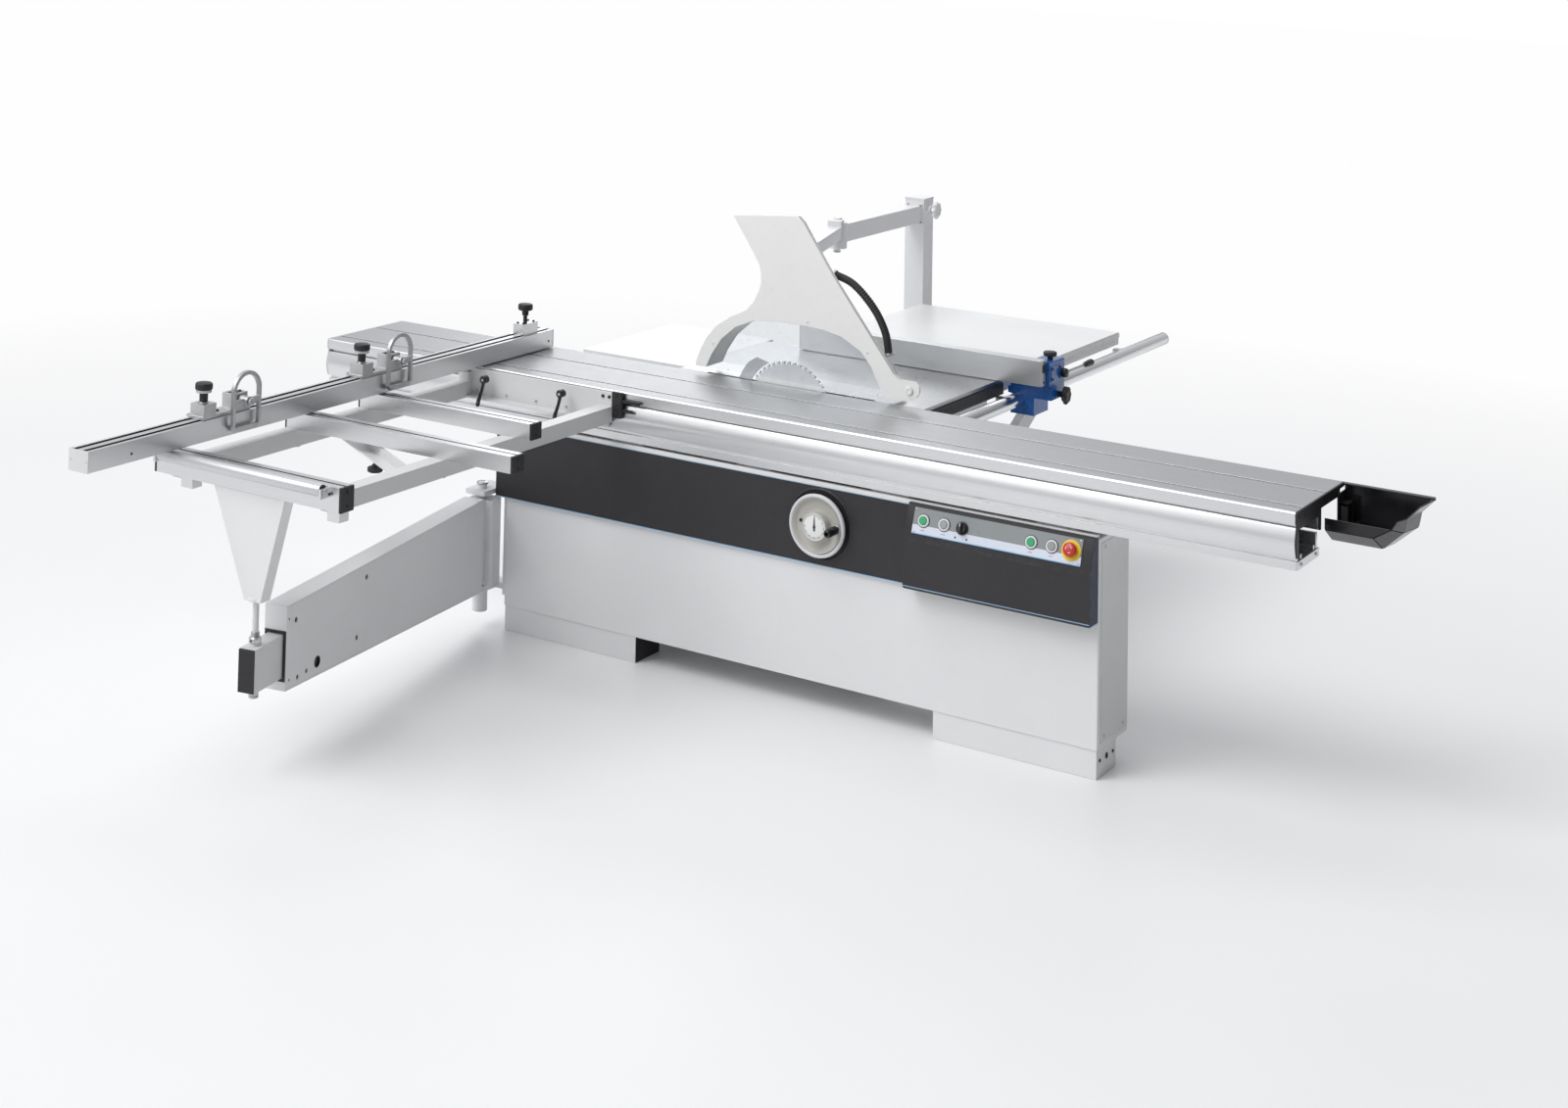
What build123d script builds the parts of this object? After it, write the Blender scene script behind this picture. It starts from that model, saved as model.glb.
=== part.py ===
from build123d import *
import math
import os

# Sliding-table panel saw with overarm guard, outrigger table and rip fence.
# Millimetres, +Z up, Z=0 is the floor. +X points to the infeed (operator)
# end of the sliding table, +Y points to the rip-fence side; front means -Y.
# Coordinates below start from the middle of the sliding table at mid stroke (X)
# and its front top edge (Y). save() moves every solid into the part frame,
# whose origin is the centre of the four floor anchor holes.

# ---------------------------------------------------------------- dimensions
GAP = 0.05                           # radial clearance of running fits
ANCHORS_X = (-420, 275)              # floor anchor holes
ANCHORS_Y = (330, 850)

TABLE_Z = 849.0                      # working height
TABLE_HALF = 1700.0                  # half length of the sliding table
MAIN_Z0 = 797.0                      # underside of the main table
CAB_X0, CAB_X1 = -938.0, 1135.0      # cabinet
CAB_Y0, CAB_Y1 = 24.0, 248.0
CAB_Z0, CAB_Z1 = 81.0, 669.0
BASE_X0, BASE_X1 = -510.0, 365.0     # rear base
BASE_Y1 = 930.0
HOUSE_X0, HOUSE_X1 = 548, 1132       # control housing
BAND_Z0 = 434                        # lower edge of fascia band and housing

TRACK_Y = (50, 160)                  # round tracks the table carriage runs between
TRACK_R = 6
TRACK_Z0, TRACK_Z1 = 722, 812        # axes of the lower and upper tracks
AXLE_Z = (TRACK_Z0 + TRACK_Z1) / 2
AXLE_R = 8
CARRIAGE_R = (TRACK_Z1 - TRACK_Z0) / 2 - TRACK_R - 0.1

TILT_Y = 425.0                       # blade plane; the tilt axis is at (TILT_Y, TABLE_Z)
BLADE_Y0, BLADE_Y1 = 423.4, 426.6    # faces of both saw blades
BLADE_X, ARBOR_Z = -100.0, 770.0     # main arbor at rest
BLADE_R = 157.5
ARBOR_R = 15
SCORE_X, SCORE_Z = 132.0, 791.0      # scoring arbor
SCORE_R = 60.0
SCORE_BORE = 8
MOTOR_X, MOTOR_Z = 160.0, 640.0
MOTOR_SHAFT_R = 14
GROOVES_Y = (552, 559, 566)          # belt grooves of both pulleys
SECTOR_R0, SECTOR_R1 = 168, 226      # tilt sector plates
GUIDE_R0, GUIDE_R1 = 186, 206        # curved key running in the trunnion slots
KEY_A0, KEY_A1 = -105, -75           # its ends at rest, degrees
TILT_RANGE, TILT_MARGIN = 45, 0.4    # extra slot angle, degrees
COLUMNS_X = (-285, 265)              # columns the arbor carrier rises on
COLUMN_R = 14
RISE_X, RISE_Y = -20, 515            # rise screw; the columns share its Y
RISE_R = 9

WHEEL_X, WHEEL_Z = 246.0, 555.0      # handwheel axis
SPINNER_X, SPINNER_Z = WHEEL_X + 69.0, WHEEL_Z + 2.0
SPINNER_R = 5

ELBOW_X, ELBOW_Y = -457, 1400        # overarm elbow axis
POST_Y = 2068                        # overarm post centre, at ELBOW_X
ROD_X, ROD_Y = -190.0, 452.0         # guide rod of the guard
PIVOT_R = 12                         # elbow pin and guide rod

HINGE_X, HINGE_Y = -1015.0, -5.0     # swing arm hinge axis
HINGE_R = 15
PIN_X, PIN_Y = -742.0, -1432.0       # outrigger pin axis
ROLL_Y, ROLL_Z, ROLL_R = -1474.0, 831.0, 17.0
ROLL_PIN_R = 5
BAR_Z0 = 800                         # underside of the slotted support bars
BARS = ((-445, -551, -499, -525), (-262, -902, -845, -873))  # end x, y0, y1, slot y
END_BAR = (-1120, -440)              # x extent of the outermost support bar

FENCE_X = -1057                      # axis of the knobs on the crosscut fence
KNOB_Y, KNOB_R = 276.0, 7
STOPS_Y = (-1330.0, -608.0)
FLIP_Y, FLIP_Z = 130, 946            # flip pivot; Y is measured from its stop
FLIP_R = 7
RAIL_X, RAIL_Z, RAIL_R = 443.0, 789.5, 22.5     # round rip rail
LEVER_Y, LEVER_Z, LEVER_R = 1090, 880, 8        # rip lever axis

os.makedirs("parts", exist_ok=True)


# ------------------------------------------------------------------- helpers
def box(x0, x1, y0, y1, z0, z1):
    return Pos((x0 + x1) / 2, (y0 + y1) / 2, (z0 + z1) / 2) * Box(x1 - x0, y1 - y0, z1 - z0)


def hollow_box(x0, x1, y0, y1, z0, z1, wall):
    inside = box(x0 + wall, x1 - wall, y0 + wall, y1 - wall, z0 + wall, z1 - wall)
    return box(x0, x1, y0, y1, z0, z1) - inside


# cylinders along one axis
def rod_x(y, z, radius, x0, x1):
    return Pos((x0 + x1) / 2, y, z) * Rot(0, 90, 0) * Cylinder(radius, x1 - x0)


def rod_y(x, z, radius, y0, y1):
    return Pos(x, (y0 + y1) / 2, z) * Rot(90, 0, 0) * Cylinder(radius, y1 - y0)


def rod_z(x, y, radius, z0, z1):
    return Pos(x, y, (z0 + z1) / 2) * Cylinder(radius, z1 - z0)


# closed outlines extruded along one axis
def prism_x(points, x0, x1):
    plane = Plane((x0, 0, 0), x_dir=(0, 1, 0), z_dir=(1, 0, 0))
    return extrude(plane * make_face(Polyline(*points, close=True)), amount=x1 - x0)


def prism_y(points, y0, y1):
    plane = Plane((0, y1, 0), x_dir=(1, 0, 0), z_dir=(0, -1, 0))
    return extrude(plane * make_face(Polyline(*points, close=True)), amount=y1 - y0)


def prism_z(points, z0, z1):
    return extrude(Plane((0, 0, z0)) * make_face(Polyline(*points, close=True)), amount=z1 - z0)


def polar(x, y, radius, angle):
    angle = math.radians(angle)
    return (x + radius * math.cos(angle), y + radius * math.sin(angle))


def arc_points(x, y, radius, a0, a1, n):
    return [polar(x, y, radius, a0 + (a1 - a0) * i / n) for i in range(n + 1)]


def tilt_sector(r0, r1, a0, a1, x0, x1):
    """Ring sector about the tilt axis; angles in degrees from +Y towards +Z."""
    def at(radius, angle):
        return polar(TILT_Y, TABLE_Z, radius, angle)
    mid = (a0 + a1) / 2
    edges = Curve() + [ThreePointArc(at(r0, a0), at(r0, mid), at(r0, a1)),
                       Line(at(r0, a1), at(r1, a1)),
                       ThreePointArc(at(r1, a1), at(r1, mid), at(r1, a0)),
                       Line(at(r1, a0), at(r0, a0))]
    plane = Plane((x0, 0, 0), x_dir=(0, 1, 0), z_dir=(1, 0, 0))
    return extrude(plane * make_face(edges), amount=x1 - x0)


def turned_y(x, z, profile):
    """Revolve a closed list of (radius, y) about the Y-parallel line at (x, z)."""
    plane = Plane((x, 0, z), x_dir=(1, 0, 0), z_dir=(0, 0, 1))
    face = plane * make_face(Polyline(*profile, close=True))
    return revolve(face, Axis((x, 0, z), (0, 1, 0)), 360)


def group(*solids):
    return Compound(children=list(solids))


def save(name, shape):
    move = Pos(-sum(ANCHORS_X) / 2, -sum(ANCHORS_Y) / 2, 0)
    pieces = list(shape.children)
    if pieces:
        placed = Compound(children=[move * piece for piece in pieces])
    else:
        placed = move * shape
    export_step(placed, f"parts/{name}.step")


# -------------------------------------------------------------- fixed frame
# cabinet: sheet box with two plinths and beam pads
cab = box(CAB_X0, CAB_X1, CAB_Y0, CAB_Y1, CAB_Z0, CAB_Z1)
cab = fillet(cab.edges().filter_by(Axis.Z), 5)
cab -= box(CAB_X0 + 3, CAB_X1 - 3, CAB_Y0 + 3, CAB_Y1 - 3, CAB_Z0 + 3, CAB_Z1 - 3)
for x0, x1 in ((CAB_X0, -416.0), (619.0, CAB_X1)):
    cab += box(x0 + 4, x1 - 4, CAB_Y0 + 3, 169, 0, CAB_Z0)
    cab -= box(x0 + 10, x1 - 10, CAB_Y0 + 9, 163, 6, CAB_Z0 + 4)
for x in (-900, -470, 0, 470, 1000):
    cab += box(x - 60, x + 60, 30, 190, CAB_Z1 - 1, 690)
cab -= box(-430, 350, CAB_Y1 - 4, CAB_Y1 + 1, 100, 640)
cab -= box(-430, 350, 196, CAB_Y1 + 1, 630, 671)
cab -= rod_y(WHEEL_X, WHEEL_Z, 12, 0, 60)
cab -= rod_x(100, 48, 8, 1110, 1140)
save("cabinet", cab)

# rear base: open frame below the main table, with duct and two sloping struts
walls = box(BASE_X0, BASE_X1, CAB_Y1, BASE_Y1, 0, MAIN_Z0)
walls -= box(BASE_X0 + 5, BASE_X1 - 5, CAB_Y1 - 1, BASE_Y1 - 5, 5, MAIN_Z0 + 1)
walls -= box(BASE_X0 - 1, BASE_X1 + 1, CAB_Y1 - 1, 430, 690, MAIN_Z0 + 1)
walls -= box(-250, 150, BASE_Y1 - 6, BASE_Y1 + 1, 420, 700)
walls += box(BASE_X0 + 5, BASE_X1 - 5, CAB_Y1, CAB_Y1 + 5, 5, 95)
duct_bore = rod_y(BLADE_X, 200, 57, 900, 1001)
duct = rod_y(BLADE_X, 200, 60, BASE_Y1, 1000) - duct_bore
walls -= duct_bore
for x in ANCHORS_X:
    for y in ANCHORS_Y:
        walls -= rod_z(x, y, 8, -1, 6)
strut_yz = [(BASE_Y1, 300), (BASE_Y1, 380), (1740, 805), (1840, 805), (1840, 790)]
save("rear_base", group(walls, duct, *[prism_x(strut_yz, x, x + 30) for x in (-330, 250)]))

# fascia band with a raised ring around the handwheel
band = box(-976, HOUSE_X0, 12, CAB_Y0, BAND_Z0, 667)
band = fillet(band.edges().filter_by(Axis.Z).sort_by(Axis.X)[0:1], 6)
band += rod_y(WHEEL_X, WHEEL_Z, 108, 9, 13)
band -= rod_y(WHEEL_X, WHEEL_Z, 102, 7, 17)
band -= rod_y(WHEEL_X, WHEEL_Z, 22, 0, 30)
save("fascia_band", band)

# control housing with an inclined front, its plate and its controls
FACE_Y0, FACE_Z0 = -36, 577          # lower edge of the inclined face
FACE_RUN, FACE_RISE = 36, 99
SLOPE_Y = FACE_RUN / math.hypot(FACE_RUN, FACE_RISE)
SLOPE_Z = FACE_RISE / math.hypot(FACE_RUN, FACE_RISE)
FACE_AXIS = Axis((0, 0, 0), (0, -SLOPE_Z, SLOPE_Y))
CONTROLS = {"button_green_1": 606.0, "button_grey_1": 672.0, "selector": 730.0,
            "button_green_2": 946.0, "button_grey_2": 1009.0, "estop": 1068.0}  # x
CONTROL_R = 12


def on_face(x, along, out):
    """Frame on the inclined face: a distance along the slope and one outwards."""
    origin = (x, FACE_Y0 + SLOPE_Y * along - SLOPE_Z * out,
              FACE_Z0 + SLOPE_Z * along + SLOPE_Y * out)
    return Location(Plane(origin=origin, x_dir=(1, 0, 0), z_dir=(0, -SLOPE_Z, SLOPE_Y)))


def at_control(x, out):
    return on_face(x, 61.5, out)


house_yz = [(24, BAND_Z0), (-30, BAND_Z0), (-36, 442), (FACE_Y0, FACE_Z0),
            (FACE_Y0 + FACE_RUN, FACE_Z0 + FACE_RISE), (24, 676)]
house_inner_yz = [(25, 438), (-28, 438), (-32, 444), (-32, 576), (4, 672), (25, 672)]
house = prism_x(house_yz, HOUSE_X0, HOUSE_X1)
house -= prism_x(house_inner_yz, HOUSE_X0 + 4, HOUSE_X1 - 4)
plate = on_face(836, 59.3, 1.5) * Box(527, 75, 3)
for name, x in CONTROLS.items():
    house -= at_control(x, -5) * Cylinder(CONTROL_R + 0.5, 20)
    if name == "estop":
        plate += at_control(x, 4) * Cylinder(29, 2)
    else:
        plate += at_control(x, 5) * Cylinder(17, 4)
    plate -= at_control(x, 4) * Cylinder(CONTROL_R + GAP, 20)
save("control_housing", house)
save("control_plate", plate)
for name, x in CONTROLS.items():
    if name.startswith("button"):
        control = at_control(x, -3) * Cylinder(CONTROL_R, 30)
        control = chamfer(control.edges().group_by(FACE_AXIS)[-1], 1.2)
    elif name == "selector":
        control = at_control(x, -2) * Cylinder(CONTROL_R, 24)
        control += at_control(x, 12) * Cylinder(14, 7.9)
        control += at_control(x, 20) * Box(8, 27, 10)
    else:
        control = at_control(x, 0) * Cylinder(CONTROL_R, 26)
        control += at_control(x, 18.5) * Cylinder(20, 11)
        control = fillet(control.edges().group_by(FACE_AXIS)[-1], 4)
    save(name, control)

# fixed lower beam of the sliding table
beam = box(-TABLE_HALF, TABLE_HALF, 11, 199, 690, 714)
for y0, y1 in ((15, 65), (69, 141), (145, 195)):
    beam -= box(-TABLE_HALF - 1, TABLE_HALF + 1, y0, y1, 694, 710)
for y0, y1 in ((18, 26), (175, 187)):
    beam += box(-TABLE_HALF, TABLE_HALF, y0, y1, 713, 757)
for y in TRACK_Y:
    beam += box(-TABLE_HALF, TABLE_HALF, y - 4, y + 4, 713, 718)
    beam += rod_x(y, TRACK_Z0, TRACK_R, -TABLE_HALF, TABLE_HALF)
save("beam", beam)

# main table: ribbed plate with a recess for the insert
main = box(-516, 387, 421, 1000, MAIN_Z0, TABLE_Z)
main -= box(-496, 355, 441, 980, MAIN_Z0 - 1, 833)
for x in (-300, 215):
    main += box(x, x + 10, 560, 981, MAIN_Z0 + 3, 834)
main -= box(-400, 200, 420, 500, MAIN_Z0 - 1, TABLE_Z + 1)
main -= box(-410, 210, 420, 519, 841, TABLE_Z + 1)
main -= box(-496, 355, 420, 445, MAIN_Z0 - 1, 833)
main = chamfer(main.edges().filter_by(Axis.X).sort_by(Axis.Z)[-1:], 0.8)
save("main_table", main)
insert = box(-410, 210, 432, 519, 841, TABLE_Z)
for x in (-380, 180):
    insert -= rod_z(x, 505, 4, 840, 850)
save("table_insert", insert)


# extension tables: downward-open pans with ribs
def table_pan(x0, x1, y0, y1, z0):
    inside = box(x0 + 4, x1 - 4, y0 + 4, y1 - 4, z0 - 1, TABLE_Z - 4)
    return box(x0, x1, y0, y1, z0, TABLE_Z) - inside


outfeed = table_pan(-934, -516, 455, 1042, 803) + box(-740, -710, 459, 1038, 815, 845.5)
side = table_pan(-416, 385, 1000, 2016, 805)
for y in (1300, 1650):
    side += box(-412, 381, y, y + 30, 812, 845.5)
save("extension_tables", group(outfeed, side))

# round rip rail on studs, and the edge strip on the main table
rail = rod_y(RAIL_X, RAIL_Z, RAIL_R, 470, 2305)
for x, y in ((387, 500), (387, 950), (385, 1440), (385, 1960)):
    rail += box(x, RAIL_X, y, y + 26, 782, 797)
save("rip_rail", group(rail, box(387, 393, 425, 998, 800, 836)))


# -------------------------------------------------------- overarm and guard
# overarm post: square tube on a drilled foot plate
def post_square(half, z0, z1):
    return box(ELBOW_X - half, ELBOW_X + half, POST_Y - half, POST_Y + half, z0, z1)


post = post_square(40, 0, 1245) - post_square(36, -1, 1241)
post += box(-560, -350, 1970, 2160, 0, 12) - post_square(36, -1, 13)
for x, y in ((-535, 1995), (-375, 1995), (-535, 2135), (-375, 2135)):
    post -= rod_z(x, y, 7, -1, 13)
post += rod_x(POST_Y, 1205, 16, ELBOW_X + 40, -402)
save("overarm_post", post)

# overarm beam with the elbow joint
overarm = box(-487, -427, ELBOW_Y, 2028, 1158, 1222) - box(-483, -431, 1390, 2024, 1162, 1218)
overarm += rod_z(ELBOW_X, ELBOW_Y, 36, 1135, 1228)
overarm -= rod_z(ELBOW_X, ELBOW_Y, PIVOT_R + GAP, 1110, 1240)
save("overarm_arm", overarm)

# second arm, from the elbow to the guide rod
reach_x, reach_y = ROD_X - ELBOW_X, ROD_Y - ELBOW_Y
reach = math.hypot(reach_x, reach_y)
link_frame = Location((ELBOW_X, ELBOW_Y, 0), (0, 0, math.degrees(math.atan2(reach_y, reach_x))))
link = link_frame * (box(45, reach, -25, 25, 1172, 1218)
                     - box(44, reach - 20, -21, 21, 1176, 1214))
link += link_frame * (box(0, 50, -25, 25, 1229, 1239) + box(38, 50, -25, 25, 1200, 1239))
link += rod_z(ELBOW_X, ELBOW_Y, PIVOT_R, 1125, 1239)
link += rod_z(ROD_X, ROD_Y, 26, 1160, 1222)
link += rod_z(ROD_X, ROD_Y, PIVOT_R, 1160, 1370)
save("guard_link", link)

# saw guard: (x, z) outline in three runs, the middle one being the window arch
GUARD_UPPER = [(-314, 1379), (-69, 1402), (-51, 1387), (55, 1235), (257, 980), (284, 945),
               (305, 930), (360, 929), (374, 920), (375, 900), (366, 884), (350, 874)]
GUARD_ARCH = [(259, 863), (236, 897), (205, 955), (168, 999), (95, 1037), (30, 1050),
              (-34, 1054), (-150, 1053), (-230, 1045), (-300, 1015), (-353, 968),
              (-388, 915), (-409, 870)]
GUARD_REAR = [(-448, 870), (-448, 885), (-430, 930), (-411, 965), (-374, 1008), (-320, 1045),
              (-259, 1075), (-232, 1105), (-213, 1141), (-205, 1170), (-205, 1200),
              (-212, 1230), (-260, 1303)]
ARCH_X, ARCH_Z = -75.0, 900.0        # centre the arch is offset from


def grown_arch(offset):
    """The arch moved radially outwards from its centre."""
    points = []
    for x, z in GUARD_ARCH:
        radius = math.hypot(x - ARCH_X, z - ARCH_Z)
        points.append((x + (x - ARCH_X) / radius * offset, z + (z - ARCH_Z) / radius * offset))
    return points


guard = prism_y(GUARD_UPPER + GUARD_ARCH + GUARD_REAR, 408, 416)
guard += prism_y(GUARD_ARCH + grown_arch(5)[::-1], 415, 513)
guard += prism_y(GUARD_ARCH + grown_arch(22)[::-1], 512, 516)
sleeve = rod_z(ROD_X, ROD_Y, 24, 1226, 1290) + box(ROD_X - 22, ROD_X + 22, 415, ROD_Y, 1230, 1286)
sleeve -= rod_z(ROD_X, ROD_Y, PIVOT_R + GAP, 1220, 1300)
save("guard_plate", guard + sleeve)
pane = grown_arch(-1.5)
pane[0] = (pane[0][0], 864)
pane[-1] = (pane[-1][0], 870)
save("guard_window", group(prism_y(pane, 410, 414), prism_y(pane, 512, 516)))
hose_path = Spline((30, 470, 1222), (105, 470, 1196), (178, 470, 1130),
                   (221, 470, 1058), (236, 470, 985))
save("dust_hose", sweep(Plane(hose_path @ 0, z_dir=hose_path % 0) * Circle(11), path=hose_path))

# ------------------------------------------------------------- tilting unit
# fixed trunnions: slotted sectors, each with a foot (x0, x1, foot x0, foot x1)
trunnions = []
for x0, x1, foot_x0, foot_x1 in ((-365, -347, BASE_X0 + 5, -347), (322, 340, 322, BASE_X1 - 5)):
    trunnion = tilt_sector(SECTOR_R0, SECTOR_R1, -156, -62, x0, x1)
    trunnion += box(x0, x1, 380, 500, 540, 660)
    trunnion += box(foot_x0, foot_x1, 380, 500, 540, 562)
    trunnion -= tilt_sector(GUIDE_R0 - GAP, GUIDE_R1 + GAP, KEY_A0 - TILT_RANGE - TILT_MARGIN,
                            KEY_A1 + TILT_MARGIN, x0 - 1, x1 + 1)
    trunnions.append(trunnion)
save("tilt_trunnions", group(*trunnions))


# tilt cradle: two cheeks with curved keys, joined by cross bars and columns
def cradle_cheek(x0, x1, key_x0, key_x1):
    cheek = tilt_sector(SECTOR_R0, SECTOR_R1, -110, -55, x0, x1)
    cheek += box(x0, x1, 430, 560, 400, 660)
    cheek += box(x0, x1, 480, 560, 640, 792)
    return cheek + tilt_sector(GUIDE_R0, GUIDE_R1, KEY_A0, KEY_A1, key_x0, key_x1)


cradle = cradle_cheek(-345, -325, -362, -325) + cradle_cheek(300, 320, 300, 337)
cradle += box(-326, 301, 485, 545, 400, 426)
cradle += box(-326, -255, 490, 540, 766, 792)
cradle += box(235, 301, 498, 540, 766, 792)
for x in COLUMNS_X:
    cradle += rod_z(x, RISE_Y, COLUMN_R, 420, 780)
cradle -= rod_z(RISE_X, RISE_Y, RISE_R + GAP, 390, 430)
cradle += box(288, 301, 470, 492, 640, 718)
save("tilt_cradle", cradle)

# arbor carrier: plate with arbor boss, motor bracket and column sleeves
carrier = prism_y([(-318, 560), (290, 560), (290, 700), (-30, 700), (-60, 795), (-140, 795),
                   (-165, 745), (-318, 745)], 500, 530)
carrier += rod_y(BLADE_X, ARBOR_Z, 32, 441, 535)
carrier += box(-318, -282, 426.4, 501, 690, 738)
carrier += box(62, 262, 580, 600, 540, 735)
carrier += box(62, 262, 529, 581, 540, 560)
for x in COLUMNS_X:
    carrier += rod_z(x, RISE_Y, 24, 560, 700)
    carrier -= rod_z(x, RISE_Y, COLUMN_R + GAP, 550, 760)
carrier -= rod_z(RISE_X, RISE_Y, RISE_R + GAP, 550, 705)
carrier -= rod_y(BLADE_X, ARBOR_Z, ARBOR_R + GAP, 400, 540)
carrier -= rod_y(MOTOR_X, MOTOR_Z, 25, 570, 610)
carrier -= rod_y(MOTOR_X, MOTOR_Z, 25, 528, 532)
save("arbor_carrier", carrier)

# main motor with cooling slots all round and a terminal box on top
motor = rod_y(MOTOR_X, MOTOR_Z, 85, 600, 800)
for angle in range(0, 360, 20):
    x, z = polar(MOTOR_X, MOTOR_Z, 86, angle)
    motor -= Pos(x, 700, z) * Rot(0, -angle, 0) * Box(12, 160, 6)
motor += box(MOTOR_X - 30, MOTOR_X + 30, 640, 740, 720, 760)
motor -= rod_y(MOTOR_X, MOTOR_Z, MOTOR_SHAFT_R + GAP, 598, 640)
save("main_motor", motor)


def grooved(pulley, x, z, outer_r, root_r):
    for y in GROOVES_Y:
        pulley -= rod_y(x, z, outer_r, y - 2, y + 2) - rod_y(x, z, root_r, y - 3, y + 3)
    return pulley


pulley = rod_y(MOTOR_X, MOTOR_Z, 62, 545, 573) + rod_y(MOTOR_X, MOTOR_Z, MOTOR_SHAFT_R, 540, 638)
save("motor_pulley", grooved(pulley, MOTOR_X, MOTOR_Z, 64, 57))

# arbor with flange and pulley; the outer flange carries a hexagon
arbor = rod_y(BLADE_X, ARBOR_Z, ARBOR_R, 408, 574)
arbor += rod_y(BLADE_X, ARBOR_Z, 36, BLADE_Y1, 440)
arbor += rod_y(BLADE_X, ARBOR_Z, 30, 545, 573)
arbor = grooved(arbor, BLADE_X, ARBOR_Z, 34, 26)
nut = rod_y(BLADE_X, ARBOR_Z, 36, 416, BLADE_Y0) - rod_y(BLADE_X, ARBOR_Z, ARBOR_R, 410, 424)
hexagon = Plane((BLADE_X, 416, ARBOR_Z), x_dir=(1, 0, 0), z_dir=(0, -1, 0)) * RegularPolygon(19, 6)
nut += extrude(hexagon, amount=7) - rod_y(BLADE_X, ARBOR_Z, ARBOR_R, 400, 417)
save("arbor", group(arbor, nut))


def toothed_disc(x, z, radius, teeth, gullet, bore):
    """Saw blade in the blade plane; gullet is the tooth depth."""
    pitch = 360.0 / teeth
    # each tooth: (depth below the rim, fraction of the pitch)
    tooth = ((0, 0), (0.8, 0.42), (gullet * 0.75, 0.56), (gullet, 0.78), (gullet * 0.55, 0.97))
    rim = [polar(x, z, radius - depth, 360.0 * i / teeth + pitch * part)
           for i in range(teeth) for depth, part in tooth]
    return prism_y(rim, BLADE_Y0, BLADE_Y1) - rod_y(x, z, bore, BLADE_Y0 - 1, BLADE_Y1 + 1)


save("saw_blade", toothed_disc(BLADE_X, ARBOR_Z, BLADE_R, 48, 11, ARBOR_R))

# riving knife: arc around the blade with a foot
knife_xz = arc_points(BLADE_X, ARBOR_Z, 163, 118, 196, 12)
knife_xz += arc_points(BLADE_X, ARBOR_Z, 206, 196, 138, 9)
knife_xz += [(BLADE_X - 205 * 0.60, ARBOR_Z + 205 * 0.76)]
knife = prism_y(knife_xz, 423.7, 426.4)
knife += prism_y([(-306, 745), (-262, 745), (-270, 692), (-306, 692)], 423.7, 426.4)
save("riving_knife", knife)

screw = rod_z(RISE_X, RISE_Y, RISE_R, 385, 740) + rod_z(RISE_X, RISE_Y, 34, 380, 396)
save("rise_screw", screw)

# scoring unit and its blade with arbor and nut
scoring = rod_y(SCORE_X, SCORE_Z, 17, 436, 490)
scoring += prism_y([(108, 812), (156, 812), (288, 720), (288, 640), (170, 640), (108, 750)],
                   478, 490)
scoring += rod_y(225, 690, 32, 440, 479)
scoring -= rod_y(SCORE_X, SCORE_Z, SCORE_BORE + GAP, 430, 495)
save("scoring_unit", scoring)
score_disc = toothed_disc(SCORE_X, SCORE_Z, SCORE_R, 24, 6, SCORE_BORE)
score_arbor = rod_y(SCORE_X, SCORE_Z, SCORE_BORE, 419, 489)
score_arbor += rod_y(SCORE_X, SCORE_Z, 16, BLADE_Y1, 435.5)
score_nut = rod_y(SCORE_X, SCORE_Z, 14, 419.5, BLADE_Y0)
score_nut -= rod_y(SCORE_X, SCORE_Z, SCORE_BORE, 410, 424)
save("scoring_blade", group(score_disc, score_arbor, score_nut))

# ---------------------------------------------------------------- handwheel
wheel = turned_y(WHEEL_X, WHEEL_Z, [
    (10, 22), (20, 22), (20, 8), (40, 4), (80, 6), (84, 6), (92, 8), (97, 2), (97, -10),
    (92, -16), (84, -16), (80, -10), (72, -1), (44, -2), (42, -20), (10, -20)])
wheel += rod_y(SPINNER_X, SPINNER_Z, 14, -14, 4)
wheel += rod_y(SPINNER_X, SPINNER_Z, SPINNER_R, -78, -10)
save("handwheel", wheel)
spindle = rod_y(WHEEL_X, WHEEL_Z, 10, -18, 118) + rod_y(WHEEL_X, WHEEL_Z, 30, 96, 108)
save("tilt_spindle", spindle)
dial = rod_y(WHEEL_X, WHEEL_Z, 40, -30, -20)
save("gravity_dial", chamfer(dial.edges().sort_by(Axis.Y)[0:1], 1.5))
bore = SPINNER_R + GAP
save("spinner_handle", turned_y(SPINNER_X, SPINNER_Z, [
    (bore, -15), (9, -15), (12, -22), (13, -50), (11, -72), (7, -76), (bore, -76)]))


# ------------------------------------------------------------ sliding table
# (y, z) runs shared by the extrusion and its end caps
TABLE_REAR = [(415, 849), (417, 847), (417, 846), (407, 838), (372, 838), (366, 819),
              (205, 819), (205, 761), (193, 761)]
TABLE_SKIRT = [(14, 724), (7, 724), (4, 730), (0, 742), (-3, 754), (-4, 764), (-3, 774),
               (0, 786), (4, 798)]
TABLE_NOSE = [(0, 842), (2, 846), (5, 848.4)]


def top_slot(y):
    """T-slot in the table top, centred on y."""
    return [(y - 5, 849), (y - 5, 841), (y - 11, 841), (y - 11, 837),
            (y + 11, 837), (y + 11, 841), (y + 5, 841), (y + 5, 849)]


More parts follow.
